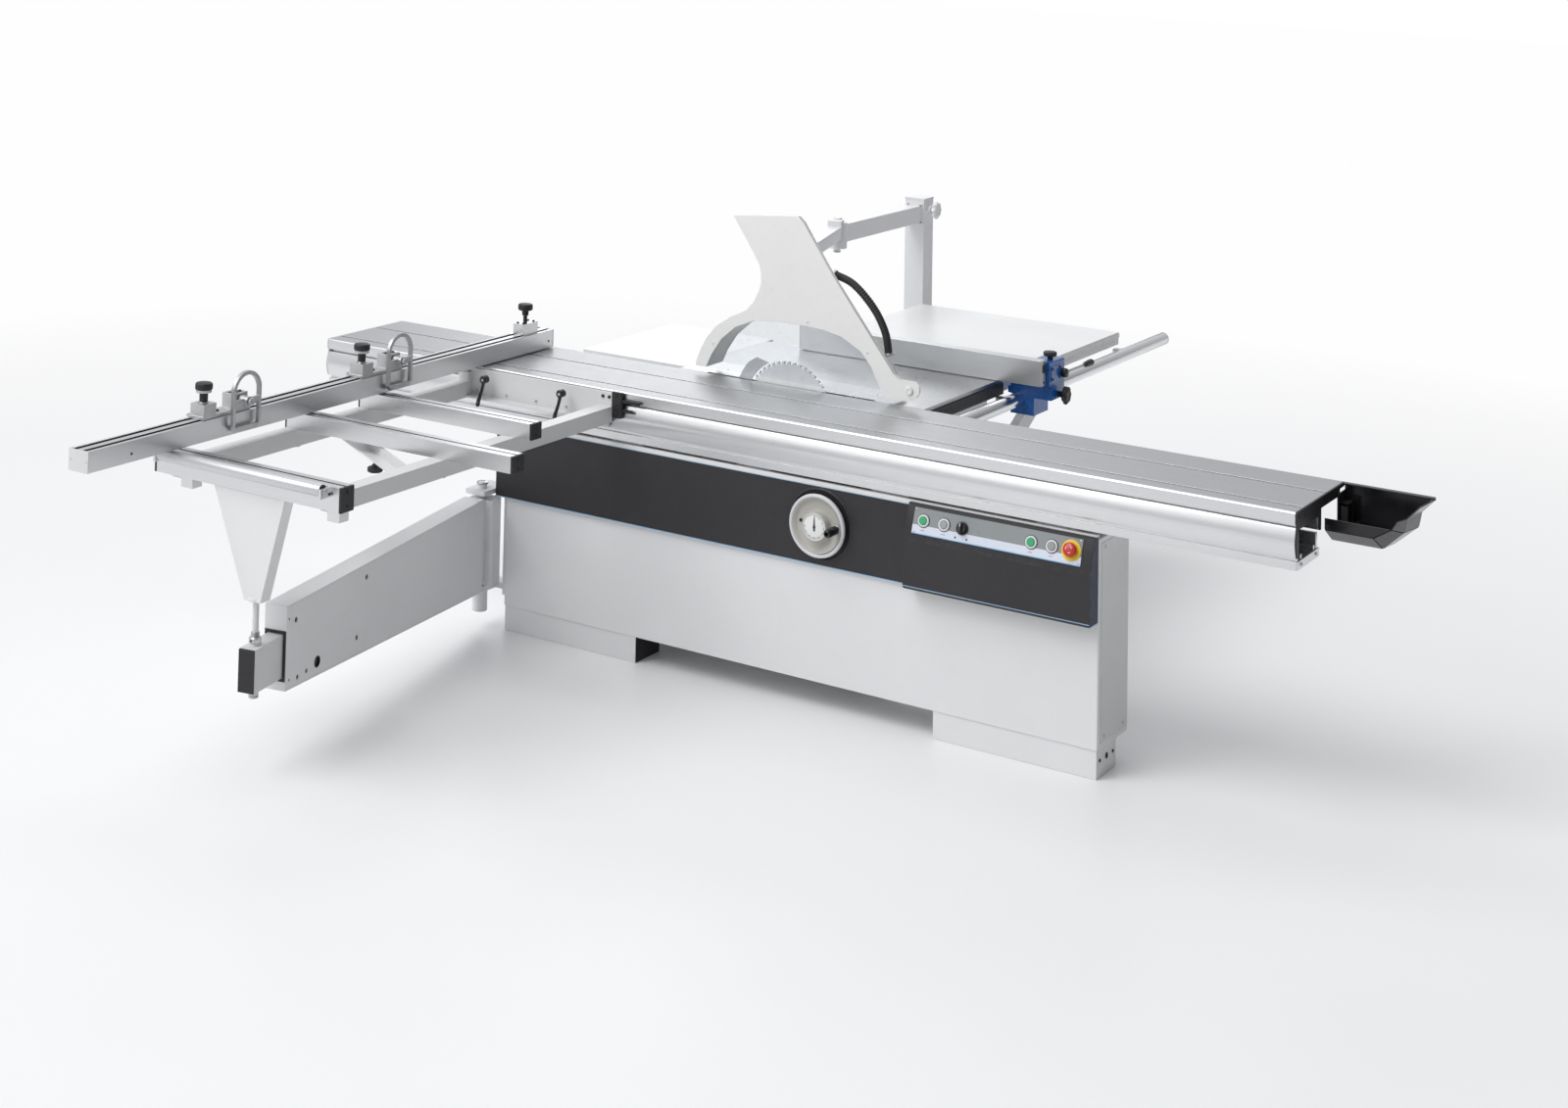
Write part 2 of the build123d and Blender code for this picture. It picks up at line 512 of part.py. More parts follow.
table_yz = ([(8, 849)] + top_slot(65) + top_slot(266) + TABLE_REAR
            + [(193, 819), (24, 819), (24, 794), (16, 786), (10, 764), (14, 744)] + TABLE_SKIRT
            + [(7, 805), (14, 805), (14, 800), (18, 800), (18, 822), (14, 822), (14, 815),
               (0, 815)] + TABLE_NOSE)
table = prism_x(table_yz, -TABLE_HALF, TABLE_HALF)
for y0, y1 in ((28, 50), (80, 130), (134, 189), (193, 251), (281, 366)):
    table -= box(-TABLE_HALF - 1, TABLE_HALF + 1, y0, y1, 823, 844)
for y in TRACK_Y:
    table += (box(-TABLE_HALF, TABLE_HALF, y - 4, y + 4, 816, 820)
              + rod_x(y, TRACK_Z1, TRACK_R, -TABLE_HALF, TABLE_HALF))
save("sliding_table", table)

# end caps of the sliding table and of the support bars
cap_yz = ([(8, 849)] + TABLE_REAR + [(193, 800), (14, 800)] + TABLE_SKIRT
          + [(5, 815), (0, 818)] + TABLE_NOSE)
caps = [prism_x(cap_yz, x, x + 6) for x in (TABLE_HALF, -TABLE_HALF - 6)]
caps += [box(x, x + 8, y0, y1, BAR_Z0, TABLE_Z) for x, y0, y1, _ in BARS]
caps += [box(x, x + 8, -1450, -1395, 772, 840) for x in (END_BAR[1], END_BAR[0] - 8)]
save("end_caps", group(*caps))

# end tray at the infeed end, (x, z) outlines
tray_xz = [(1706, 848), (1957, 848), (1922, 818), (1917, 803), (1909, 762), (1845, 704),
           (1706, 704)]
tray_inner_xz = [(1712, 852), (1950, 852), (1950, 846), (1917, 819), (1912, 803), (1904, 764),
                 (1843, 709), (1712, 709)]
tray = prism_y(tray_xz, 357, 417) - prism_y(tray_inner_xz, 350, 412)
tray += box(1712, 1734, 372, 413, 736, 806) - box(1718, 1740, 378, 408, 742, 800)
save("end_tray", tray)

# roller carriage between beam and table
AXLES_X = (-720, -240, 240, 720)
carriage = box(-800, 800, 75, 135, 752, 782) - box(-790, 790, 80, 130, 757, 790)
for x in AXLES_X:
    carriage += rod_y(x, AXLE_Z, AXLE_R, 38, 76) + rod_y(x, AXLE_Z, AXLE_R, 134, 172)
    carriage += box(x - 14, x + 14, 75, 135, 754, 780)
save("roller_carriage", carriage)
save("carriage_wheels", group(*[
    rod_y(x, AXLE_Z, CARRIAGE_R, y - 11, y + 11) - rod_y(x, AXLE_Z, AXLE_R + GAP, y - 12, y + 12)
    for x in AXLES_X for y in TRACK_Y]))

# ---------------------------------------------------------------- outrigger
# frame: two long tubes, a diagonal brace and the brackets at the table edge
frame = hollow_box(-550, -500, -1395, -14, 750, 800, 3)
frame += hollow_box(-1110, -1060, -1395, -14, 750, 800, 3)
frame += box(-1110, -500, -14, -6, 752, 842) + box(-1061, -549, -52, -13, 752, 758)
frame += prism_z([(-1061, -668), (-1061, -740), (-549, -1056), (-549, -984)], 764, 770)
frame += prism_z([(-1061, -690), (-1061, -698), (-549, -1014), (-549, -1006)], 769, 796)
frame += box(-501, -466, -16, -6, 767, 846)
frame += box(-467, -400, -12, -6, 816, 824) + box(-467, -428, -12, -6, 787, 795)
for x in (-1080, -530):
    frame += box(x - 16, x + 16, -7, 6, 807, 813)
frame += box(-535, -515, -7, 1.5, 733, 737) + box(-535, -515, -14, -6, 733, 753)
frame += box(-1100, -1060, -40, -13, 799, 830)
save("outrigger_frame", frame)


def slotted_bar(x1, y0, y1, slot_y):
    """Hollow support bar with a slot along its top."""
    bar = box(-1106, x1, y0, y1, BAR_Z0, TABLE_Z)
    cuts = [box(-1107, x1 + 1, slot_y - half, slot_y + half, 838, z1)
            for half, z1 in ((4, 850), (9, 843))]
    return bar - (cuts[0] + cuts[1] + box(-1107, x1 + 1, y0 + 5, y1 - 5, 805, 833))


end_x0, end_x1 = END_BAR
end_bar = box(end_x0, end_x1, -1450, -1395, 772, 840)
end_bar -= box(end_x0 - 1, end_x1 + 1, -1445, -1400, 777, 825)
end_bar -= box(end_x0 - 1, end_x1 + 1, -1426, -1418, 824, 841)
for x in (-1095, -478):
    end_bar += (box(x, x + 8, -1492, -1449, 812, 839)
                - rod_x(ROLL_Y, ROLL_Z, ROLL_PIN_R, x - 1, x + 9))
end_bar += box(-1028, -984, -1445, -1405, 744, 773) + box(-484, -441, -1445, -1405, 744, 773)
save("support_bars", group(*[slotted_bar(*bar) for bar in BARS], end_bar))

roller = rod_x(ROLL_Y, ROLL_Z, ROLL_R, -1085, -480)
roller += rod_x(ROLL_Y, ROLL_Z, ROLL_PIN_R - GAP, -1100, -466)
save("outrigger_roller", roller)

for i, x in enumerate((-980.0, -672.0), 1):
    lever = rod_y(x, 822, 11, -46, -14) + rod_y(x, 822, 7, -60, -46)
    lever += prism_y([(x - 6, 826), (x + 6, 826), (x - 13, 736), (x - 25, 736)], -66, -56)
    save(f"clamp_lever_{i}", lever)

bracket = prism_y([(-896, 772), (-633, 772), (-712, 478), (-772, 478)], -1450, -1408)
bracket -= prism_y([(-888, 768), (-641, 768), (-718, 490), (-766, 490)], -1445, -1400)
save("swing_bracket", bracket)

# crosscut fence: (x, z) extrusion with two top slots, feet and a knob block
fence_xz = [(-1098, 853), (-1024, 853), (-1024, 912), (-1036, 912), (-1036, 904), (-1050, 904),
            (-1050, 912), (-1072, 912), (-1072, 904), (-1086, 904), (-1086, 912), (-1098, 912)]
fence = prism_y(fence_xz, -1818, 397)
for x0, x1 in ((-1093, -1064), (-1058, -1029)):
    fence -= box(x0, x1, -1819, 398, 858, 898)
for y in (BARS[1][3], BARS[0][3], 40, 340):
    fence += box(-1078, -1036, y - 15, y + 15, TABLE_Z, 854)
fence += box(-1079, -1036, 238, 322, 911, 950)
fence -= rod_z(FENCE_X, KNOB_Y, KNOB_R + GAP, 930, 951)
save("crosscut_fence", fence)
knob = rod_z(FENCE_X, KNOB_Y, KNOB_R, 930.5, 975) + rod_z(FENCE_X, KNOB_Y, 11, 972, 986)
save("fence_knob", knob + rod_z(FENCE_X, KNOB_Y, 22, 986, 1012))


def stop_body(y):
    """Fence stop with its knob at y."""
    body = box(-1084, -1030, y - 30, y + 175, 912.4, 922)
    body += (box(-1084, -1030, y - 26, y + 26, 920, 956)
             - box(-1085, -1040, y - 16, y + 16, 932, 946))
    body += box(-1047, -1039, y - 10, y + 150, 904.8, 913)
    body += (box(-1076, -1030, y + 100, y + 160, 920, 966)
             - box(-1068, -1038, y + 108, y + 152, 930, 967))
    body += rod_x(y + FLIP_Y, FLIP_Z, FLIP_R, -1034, -988)
    for radius, z0, z1 in ((8, 955, 980), (12, 974, 988), (23, 986, 1012)):
        body += rod_z(FENCE_X, y, radius, z0, z1)
    return body


def stop_flip(y):
    """Round-topped loop with a crossbar, turning on the stop's pivot."""
    mid = y + FLIP_Y
    loop = box(-1014, -1002, mid - 62, mid + 62, 862, 972) + (
        rod_x(mid, 972, 62, -1014, -1002) - box(-1015, -1001, mid - 63, mid + 63, 900, 972))
    loop -= box(-1015, -1001, mid - 50, mid + 50, 876, 972) + (
        rod_x(mid, 972, 50, -1015, -1001) - box(-1016, -1000, mid - 51, mid + 51, 900, 971.9))
    for k in (-1, 1):
        loop -= prism_x([(mid + k * 60.5, 861), (mid + k * 63, 861), (mid + k * 63, 1000),
                         (mid + k * 60.5, 1000)], -1015, -1001)
        loop -= prism_x([(mid + k * 44, 861), (mid + k * 63, 861), (mid + k * 63, 880)],
                        -1015, -1001)
    flip = loop + box(-1012, -1004, mid - 51, mid + 51, 938, 954)
    flip += rod_x(mid, FLIP_Z, 14, -1027, -994)
    return flip - rod_x(mid, FLIP_Z, FLIP_R + GAP, -1030, -990)


for i, y in enumerate(STOPS_Y, 1):
    save(f"stop_{i}", stop_body(y))
    save(f"stop_{i}_flip", stop_flip(y))

# ---------------------------------------------------------------- swing arm
# hinge bracket on the end of the cabinet
hinge = box(-950, CAB_X0, 30, 130, 110, 475)
for z0, z1 in ((128, 146), (438, 454)):
    hinge += box(-1055, -978, -45, 90, z0, z1) + box(-979, -949, 30, 90, z0, z1)
hinge += rod_z(HINGE_X, HINGE_Y, HINGE_R, 100, 470)
hinge += rod_z(HINGE_X, HINGE_Y, 25, 60, 128)
save("swing_post", hinge)

# both arms are drawn along +X from the hinge, then turned towards the pin
pin_dx, pin_dy = PIN_X - HINGE_X, PIN_Y - HINGE_Y
arm_length = math.hypot(pin_dx, pin_dy)
arm_frame = Location((HINGE_X, HINGE_Y, 0), (0, 0, math.degrees(math.atan2(pin_dy, pin_dx))))
ARM_X0, ARM_X1 = 62.0, 1340.0
ARM_HOLES = ((1288, 385, 8), (1327, 397, 3.5), (869, 395, 8), (922, 232, 8), (1160, 231, 14),
             (1221, 223, 7), (1272, 221, 7), (1320, 226, 3.5))     # x, z, radius
arm = prism_y([(ARM_X0, 135), (ARM_X0, 435), (ARM_X1, 435), (ARM_X1, 200)], -36, 36)
arm -= prism_y([(ARM_X0 + 5, 141), (ARM_X0 + 5, 430), (ARM_X1 - 5, 430), (ARM_X1 - 5, 206)],
               -31, 31)
arm -= box(ARM_X1 - 20, ARM_X1 + 5, -27, 27, 233, 359)
for x, z, radius in ARM_HOLES:
    arm -= rod_y(x, z, radius, 30, 40)
arm += box(30, ARM_X0 + 1, -30, 30, 160, 424)
knuckle = box(-38, 38, -38, 56, 150, 424)
arm += fillet(knuckle.edges().filter_by(Axis.Z), 12)
arm -= rod_z(0, 0, HINGE_R + GAP, 140, 440)
save("swing_arm", arm_frame * arm)

inner = hollow_box(240, arm_length + 40, -25, 25, 236, 356, 4)
for radius, z0, z1 in ((9, 212, 476.5), (16, 354, 364), (14, 222, 238)):
    inner += rod_z(arm_length, 0, radius, z0, z1)
save("inner_arm", arm_frame * inner)

# ---------------------------------------------------------------- rip fence
head = box(416, 500, 1004, 1118, 742, 846)
head += box(488, 560, 990, 1110, 846, 926) + box(480, 560, 1004, 1110, 800, 847)
head = fillet(head.edges().filter_by(Axis.Y).sort_by(Axis.Z)[-2:], 6)
head -= box(400, RAIL_X, 950, 1130, 774, 805)
head -= rod_y(RAIL_X, RAIL_Z, RAIL_R + GAP, 950, 1130)
head -= rod_x(LEVER_Y, LEVER_Z, LEVER_R + GAP, 545, 570)
save("rip_head", head)
rip = box(-355, 545, 950, 990, 852, 936)
rip -= box(-356, 546, 954, 986, 857, 886) + box(-356, 546, 954, 986, 890, 931)
rip -= box(-356, 546, 985, 991, 902, 912)
save("rip_fence", rip)
lever = rod_x(LEVER_Y, LEVER_Z, LEVER_R, 548, 578) + rod_x(LEVER_Y, LEVER_Z, 14, 562, 578)
lever += rod_y(570, 879, 5, 1095, 1285)
lever += rod_y(570, 879, 10, 1262, 1322)
save("rip_lever", lever)
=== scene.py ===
import bpy
import math
import random
from mathutils import Vector, Matrix


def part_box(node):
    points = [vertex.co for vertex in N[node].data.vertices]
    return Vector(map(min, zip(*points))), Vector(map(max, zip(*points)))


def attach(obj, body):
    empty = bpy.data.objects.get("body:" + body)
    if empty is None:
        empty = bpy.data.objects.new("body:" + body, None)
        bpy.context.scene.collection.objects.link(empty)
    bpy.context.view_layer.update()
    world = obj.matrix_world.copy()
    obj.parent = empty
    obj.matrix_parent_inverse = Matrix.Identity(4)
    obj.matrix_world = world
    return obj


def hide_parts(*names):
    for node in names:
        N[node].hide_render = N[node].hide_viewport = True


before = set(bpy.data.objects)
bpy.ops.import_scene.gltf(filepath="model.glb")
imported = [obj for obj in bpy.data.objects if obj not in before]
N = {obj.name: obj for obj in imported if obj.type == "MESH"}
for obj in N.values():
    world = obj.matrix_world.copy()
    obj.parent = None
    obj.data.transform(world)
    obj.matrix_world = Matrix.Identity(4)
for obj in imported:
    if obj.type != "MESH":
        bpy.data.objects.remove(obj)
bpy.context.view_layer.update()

random.seed(11)
MM = 0.001
_lo, _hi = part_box("sliding_table")
# piece coordinates below are millimetres from the middle of the sliding table (X) and its front edge (Y)
DX, DY = (_lo.x + _hi.x) / 2, _lo.y + 0.004
SHIFT = Vector((DX, DY, 0))


# =============================================================== materials
class Mat:
    """Node material in real-scale object coordinates (metres)."""

    def __init__(s, name):
        s.m = bpy.data.materials.new(name)
        s.m.use_nodes = True
        s.t = s.m.node_tree
        s.t.nodes.clear()
        s.out = s.n("ShaderNodeOutputMaterial")
        s.tc = s.n("ShaderNodeTexCoord").outputs["Object"]

    def n(s, typ, **kw):
        x = s.t.nodes.new(typ)
        for k, v in kw.items():
            setattr(x, k, v)
        return x

    def l(s, a, b):
        s.t.links.new(a, b)

    def put(s, sock, v):
        if isinstance(v, (int, float, tuple, list)):
            sock.default_value = v
        else:
            s.l(v, sock)

    def math(s, op, a, b=0.0, c=None, clamp=False):
        x = s.n("ShaderNodeMath", operation=op)
        x.use_clamp = clamp
        s.put(x.inputs[0], a)
        s.put(x.inputs[1], b)
        if c is not None:
            s.put(x.inputs[2], c)
        return x.outputs[0]

    def noise(s, scale, detail=3.0, rough=0.55, stretch=(1, 1, 1), w=0.0):
        mp = s.n("ShaderNodeMapping")
        mp.inputs["Scale"].default_value = stretch
        mp.inputs["Location"].default_value = (w, w * 0.7, w * 1.3)
        s.l(s.tc, mp.inputs["Vector"])
        x = s.n("ShaderNodeTexNoise")
        x.inputs["Scale"].default_value = scale
        x.inputs["Detail"].default_value = detail
        x.inputs["Roughness"].default_value = rough
        s.l(mp.outputs[0], x.inputs["Vector"])
        return x.outputs[0]

    def ramp(s, f, lo, hi, a=0.0, b=1.0):
        x = s.n("ShaderNodeMapRange")
        x.clamp = True
        s.put(x.inputs["Value"], f)
        x.inputs["From Min"].default_value = lo
        x.inputs["From Max"].default_value = hi
        x.inputs["To Min"].default_value = a
        x.inputs["To Max"].default_value = b
        return x.outputs[0]

    def mix(s, f, a, b):
        x = s.n("ShaderNodeMix", data_type="RGBA")
        s.put(x.inputs[0], f)
        s.put(x.inputs[6], a)
        s.put(x.inputs[7], b)
        return x.outputs[2]


def c4(c):
    return (c[0], c[1], c[2], 1.0)


def scaled(c, k):
    return (min(1.0, c[0] * k), min(1.0, c[1] * k), min(1.0, c[2] * k), 1.0)


def surface(name, base, rough, metal=0.0, var=0.05, vscale=2.2, fine=700.0, bump=0.12, stretch=(1, 1, 1), rvar=0.10,
            wear=None, wear_metal=0.0, wear_amt=0.5, edge=0.0012, coat=0.0, spec=0.5, grime=0.06, streak=0.0,
            alpha=None, speck=0.0, base_socket=None, ior=None):
    g = Mat(name)
    big = g.noise(vscale, 4.0, 0.6)
    mid = g.noise(38.0, 5.0, 0.62, (1, 1, 1), 3.1)
    fin = g.noise(fine, 3.0, 0.6, stretch, 1.7)
    b = base_socket(g) if base_socket else None
    lo, hi = scaled(base, 1.0 - var), scaled(base, 1.0 + var)
    if b is None:
        col = g.mix(g.ramp(big, 0.3, 0.7), lo, hi)
    else:
        col = g.mix(g.math("MULTIPLY", g.ramp(big, 0.3, 0.7), var * 2.0), b, (0.02, 0.02, 0.02, 1))
    # handling marks: soft darker blotches
    if grime:
        gm = g.math("MULTIPLY", g.ramp(mid, 0.52, 0.74), grime, clamp=True)
        col = g.mix(gm, col, (0.16, 0.155, 0.15, 1.0))
    if streak:
        st = g.math("MULTIPLY", g.ramp(fin, 0.35, 0.7), streak, clamp=True)
        col = g.mix(st, col, scaled(base, 0.62))
    if speck:
        sp = g.math("MULTIPLY", g.ramp(g.noise(1500.0, 2.0, 0.5, (1, 1, 1), 5.0), 0.6, 0.66), speck, clamp=True)
        col = g.mix(sp, col, scaled(base, 1.5))
    r = g.math("ADD", rough - rvar * 0.5, g.math("MULTIPLY", g.ramp(mid, 0.3, 0.72), rvar))
    r = g.math("ADD", r, g.math("MULTIPLY", g.math("SUBTRACT", fin, 0.5), rvar * 0.8), clamp=True)
    bv = g.n("ShaderNodeBevel", samples=3)
    bv.inputs["Radius"].default_value = edge
    bp = g.n("ShaderNodeBump")
    bp.inputs["Strength"].default_value = 1.0
    bp.inputs["Distance"].default_value = bump * 0.0006
    g.l(fin, bp.inputs["Height"])
    g.l(bv.outputs[0], bp.inputs["Normal"])
    p = g.n("ShaderNodeBsdfPrincipled")
    g.l(bp.outputs[0], p.inputs["Normal"])
    met = metal
    if wear is not None:
        geo = g.n("ShaderNodeNewGeometry")
        dp = g.n("ShaderNodeVectorMath", operation="DOT_PRODUCT")
        g.l(bv.outputs[0], dp.inputs[0])
        g.l(geo.outputs["True Normal"], dp.inputs[1])
        e = g.ramp(g.math("SUBTRACT", 1.0, dp.outputs["Value"]), 0.02, 0.16)
        wn = g.ramp(g.noise(55.0, 6.0, 0.7, (1, 1, 1), 9.0), 0.44, 0.62)
        w = g.math("MULTIPLY", g.math("MULTIPLY", e, wn), wear_amt, clamp=True)
        col = g.mix(w, col, c4(wear))
        r = g.math("ADD", r, g.math("MULTIPLY", w, 0.12), clamp=True)
        if wear_metal != metal:
            met = g.math("ADD", metal, g.math("MULTIPLY", w, wear_metal - metal), clamp=True)
    g.put(p.inputs["Base Color"], col)
    g.put(p.inputs["Roughness"], r)
    g.put(p.inputs["Metallic"], met)
    p.inputs["Specular IOR Level"].default_value = spec
    p.inputs["Coat Weight"].default_value = coat
    p.inputs["Coat Roughness"].default_value = 0.12
    if ior:
        p.inputs["IOR"].default_value = ior
    if alpha is not None:
        # thin clear sheet: mostly see-through, with reflections and a faint haze at grazing angles
        tr = g.n("ShaderNodeBsdfTransparent")
        tr.inputs["Color"].default_value = (0.975, 0.98, 0.985, 1)
        lw = g.n("ShaderNodeLayerWeight")
        lw.inputs["Blend"].default_value = 0.35
        k = g.math("ADD", alpha, g.math("MULTIPLY", lw.outputs["Facing"], 0.16))
        k = g.math("ADD", k, g.math("MULTIPLY", g.ramp(mid, 0.5, 0.75), 0.04), clamp=True)
        mx = g.n("ShaderNodeMixShader")
        g.l(k, mx.inputs[0])
        g.l(tr.outputs[0], mx.inputs[1])
        g.l(p.outputs[0], mx.inputs[2])
        g.l(mx.outputs[0], g.out.inputs[0])
    else:
        g.l(p.outputs[0], g.out.inputs[0])
    return g.m


PRIMER = (0.30, 0.30, 0.31)
M = {}
M["white"] = surface("white_powder_coat", (0.76, 0.765, 0.775), 0.42, var=0.02, bump=0.16, fine=620, wear=(0.52, 0.52, 0.52), wear_amt=0.55, grime=0.02)
M["white2"] = surface("light_grey_powder_coat", (0.66, 0.67, 0.67), 0.40, var=0.03, bump=0.16, fine=620, wear=(0.46, 0.46, 0.47), wear_amt=0.5, grime=0.02)
M["dark"] = surface("charcoal_powder_coat", (0.021, 0.019, 0.022), 0.48, var=0.14, bump=0.22, fine=900, wear=(0.20, 0.21, 0.24), wear_amt=0.6, grime=0.04, speck=0.35)
M["blue"] = surface("blue_enamel", (0.006, 0.105, 0.40), 0.28, var=0.10, bump=0.25, fine=240, wear=(0.16, 0.24, 0.40), wear_amt=0.6, coat=0.35, grime=0.05)
M["trim"] = surface("pale_blue_trim", (0.33, 0.53, 0.74), 0.38, var=0.05, bump=0.08, wear=(0.7, 0.75, 0.8), wear_amt=0.4)
M["alu_x"] = surface("anodised_along_x", (0.74, 0.745, 0.755), 0.30, 1.0, var=0.02, vscale=1.6, fine=420, stretch=(0.006, 1, 1), bump=0.10, rvar=0.05, wear=(0.88, 0.88, 0.89), wear_metal=1.0, wear_amt=0.6, grime=0.015, streak=0.10)
M["alu_y"] = surface("anodised_along_y", (0.72, 0.725, 0.735), 0.31, 1.0, var=0.02, vscale=1.6, fine=420, stretch=(1, 0.006, 1), bump=0.10, rvar=0.05, wear=(0.88, 0.88, 0.89), wear_metal=1.0, wear_amt=0.6, grime=0.015, streak=0.10)
M["alu_cast"] = surface("cast_aluminium", (0.58, 0.585, 0.59), 0.42, 1.0, var=0.05, fine=300, bump=0.5, wear=(0.85, 0.85, 0.86), wear_metal=1.0, wear_amt=0.7, grime=0.08)
M["ground"] = surface("ground_cast_iron", (0.50, 0.505, 0.51), 0.30, 1.0, var=0.04, vscale=3.0, fine=300, stretch=(0.02, 1, 1), bump=0.14, rvar=0.07, wear=(0.75, 0.75, 0.75), wear_metal=1.0, wear_amt=0.5, grime=0.03, streak=0.14)
M["plate"] = surface("coated_extension_plate", (0.84, 0.845, 0.85), 0.36, 0.0, var=0.03, fine=500, bump=0.12, wear=(0.45, 0.45, 0.46), wear_amt=0.6, grime=0.02)
M["iron"] = surface("grey_painted_casting", (0.16, 0.165, 0.175), 0.55, var=0.10, fine=160, bump=1.1, wear=(0.42, 0.42, 0.43), wear_metal=0.6, wear_amt=0.7, grime=0.15)
M["steel"] = surface("turned_steel", (0.52, 0.525, 0.54), 0.30, 1.0, var=0.05, fine=260, stretch=(1, 0.03, 1), bump=0.10, wear=(0.8, 0.8, 0.81), wear_metal=1.0, wear_amt=0.5, grime=0.08, streak=0.15)
M["blade"] = surface("polished_blade_steel", (0.74, 0.745, 0.75), 0.34, 1.0, var=0.04, fine=520, bump=0.06, wear=(0.85, 0.85, 0.85), wear_metal=1.0, wear_amt=0.4, grime=0.10)
M["chrome"] = surface("chromed_bar", (0.80, 0.81, 0.82), 0.14, 1.0, var=0.02, fine=320, stretch=(1, 0.01, 1), bump=0.02, rvar=0.06, wear=(0.9, 0.9, 0.9), wear_metal=1.0, wear_amt=0.3, grime=0.02)
M["black"] = surface("black_moulded_plastic", (0.014, 0.014, 0.016), 0.46, var=0.15, fine=1100, bump=0.45, wear=(0.10, 0.10, 0.105), wear_amt=0.7, grime=0.05)
M["gloss"] = surface("black_gloss_plastic", (0.010, 0.010, 0.012), 0.20, var=0.15, fine=500, bump=0.06, wear=(0.09, 0.09, 0.095), wear_amt=0.6, grime=0.03)
M["hood"] = surface("off_white_hood_plastic", (0.86, 0.86, 0.845), 0.33, var=0.02, fine=480, bump=0.10, wear=(0.62, 0.62, 0.60), wear_amt=0.4, grime=0.04)
M["wheel"] = surface("greige_moulded_disc", (0.47, 0.455, 0.42), 0.42, var=0.05, fine=800, bump=0.22, wear=(0.66, 0.65, 0.62), wear_amt=0.5, grime=0.10)
M["rim"] = surface("pale_rim_plastic", (0.66, 0.68, 0.70), 0.30, var=0.03, fine=800, bump=0.12, wear=(0.85, 0.87, 0.89), wear_amt=0.5, grime=0.05)
M["face"] = surface("white_dial_face", (0.82, 0.82, 0.81), 0.30, var=0.02, fine=900, bump=0.05, grime=0.02)
M["ink"] = surface("printed_mark", (0.03, 0.03, 0.035), 0.45, var=0.10, fine=900, bump=0.05, grime=0.0)
M["green"] = surface("green_button_plastic", (0.015, 0.36, 0.14), 0.26, var=0.06, fine=900, bump=0.08, wear=(0.20, 0.55, 0.35), wear_amt=0.5, grime=0.03)
M["grey"] = surface("grey_button_plastic", (0.30, 0.31, 0.32), 0.30, var=0.06, fine=900, bump=0.08, wear=(0.5, 0.5, 0.5), wear_amt=0.5, grime=0.04)
M["red"] = surface("red_mushroom_plastic", (0.52, 0.022, 0.018), 0.27, var=0.08, fine=900, bump=0.08, wear=(0.72, 0.16, 0.12), wear_amt=0.5, coat=0.25, grime=0.03)
M["yellow"] = surface("yellow_disc_plastic", (0.80, 0.55, 0.02), 0.36, var=0.05, fine=900, bump=0.08, wear=(0.85, 0.7, 0.25), wear_amt=0.4, grime=0.04)
M["collar"] = surface("white_collar_plastic", (0.78, 0.79, 0.80), 0.28, var=0.02, fine=900, bump=0.06, wear=(0.6, 0.6, 0.6), wear_amt=0.3, grime=0.03)
M["zinc"] = surface("zinc_plated_screw", (0.56, 0.57, 0.58), 0.32, 1.0, var=0.06, fine=700, bump=0.12, wear=(0.8, 0.8, 0.8), wear_metal=1.0, wear_amt=0.5, grime=0.10)
M["oxide"] = surface("black_oxide_screw", (0.035, 0.035, 0.038), 0.36, 0.6, var=0.10, fine=700, bump=0.15, wear=(0.3, 0.3, 0.3), wear_metal=1.0, wear_amt=0.6, grime=0.05)
M["rubber"] = surface("hose_rubber", (0.013, 0.013, 0.014), 0.50, var=0.15, fine=1400, bump=0.4, wear=(0.07, 0.07, 0.07), wear_amt=0.5, grime=0.08)
M["clear"] = surface("clear_polycarbonate", (0.86, 0.88, 0.90), 0.09, var=0.02, fine=300, bump=0.03, rvar=0.05, grime=0.0, alpha=0.045, edge=0.0008)
M["carbide"] = surface("carbide_tip", (0.30, 0.30, 0.31), 0.30, 1.0, var=0.05, fine=700, bump=0.1, grime=0.02)

M["satin"] = surface("satin_roller_tube", (0.60, 0.605, 0.62), 0.40, 0.55, var=0.03, fine=320, stretch=(0.01, 1, 1), bump=0.05, rvar=0.06, wear=(0.8, 0.8, 0.8), wear_metal=1.0, wear_amt=0.3, grime=0.03)
M["alu_top"] = surface("anodised_table_top", (0.50, 0.505, 0.515), 0.46, 0.9, var=0.03, vscale=1.6, fine=420, stretch=(0.006, 1, 1), bump=0.10, rvar=0.06, wear=(0.88, 0.88, 0.89), wear_metal=1.0, wear_amt=0.6, grime=0.03, streak=0.14)
# near-white metal for the sliding table's rounded edges: a painted highlight along the edges
M["bright"] = surface("sliding_edge_painted_highlight", (0.90, 0.90, 0.91), 0.34, 0.75, var=0.02, fine=420, stretch=(0.006, 1, 1), bump=0.04, rvar=0.04, grime=0.0)
# near-black for the walls inside slots: painted shade in the slots
M["slot"] = surface("slot_wall_painted_shade", (0.020, 0.020, 0.022), 0.48, var=0.12, fine=900, bump=0.2, grime=0.04)
M["cap"] = surface("light_grey_end_cap", (0.55, 0.56, 0.57), 0.44, var=0.04, fine=900, bump=0.3, wear=(0.75, 0.75, 0.75), wear_amt=0.5, grime=0.05)
M["navy"] = surface("navy_powder_coat", (0.001, 0.010, 0.050), 0.50, var=0.10, bump=0.2, fine=900, wear=(0.12, 0.16, 0.24), wear_amt=0.6, grime=0.03)


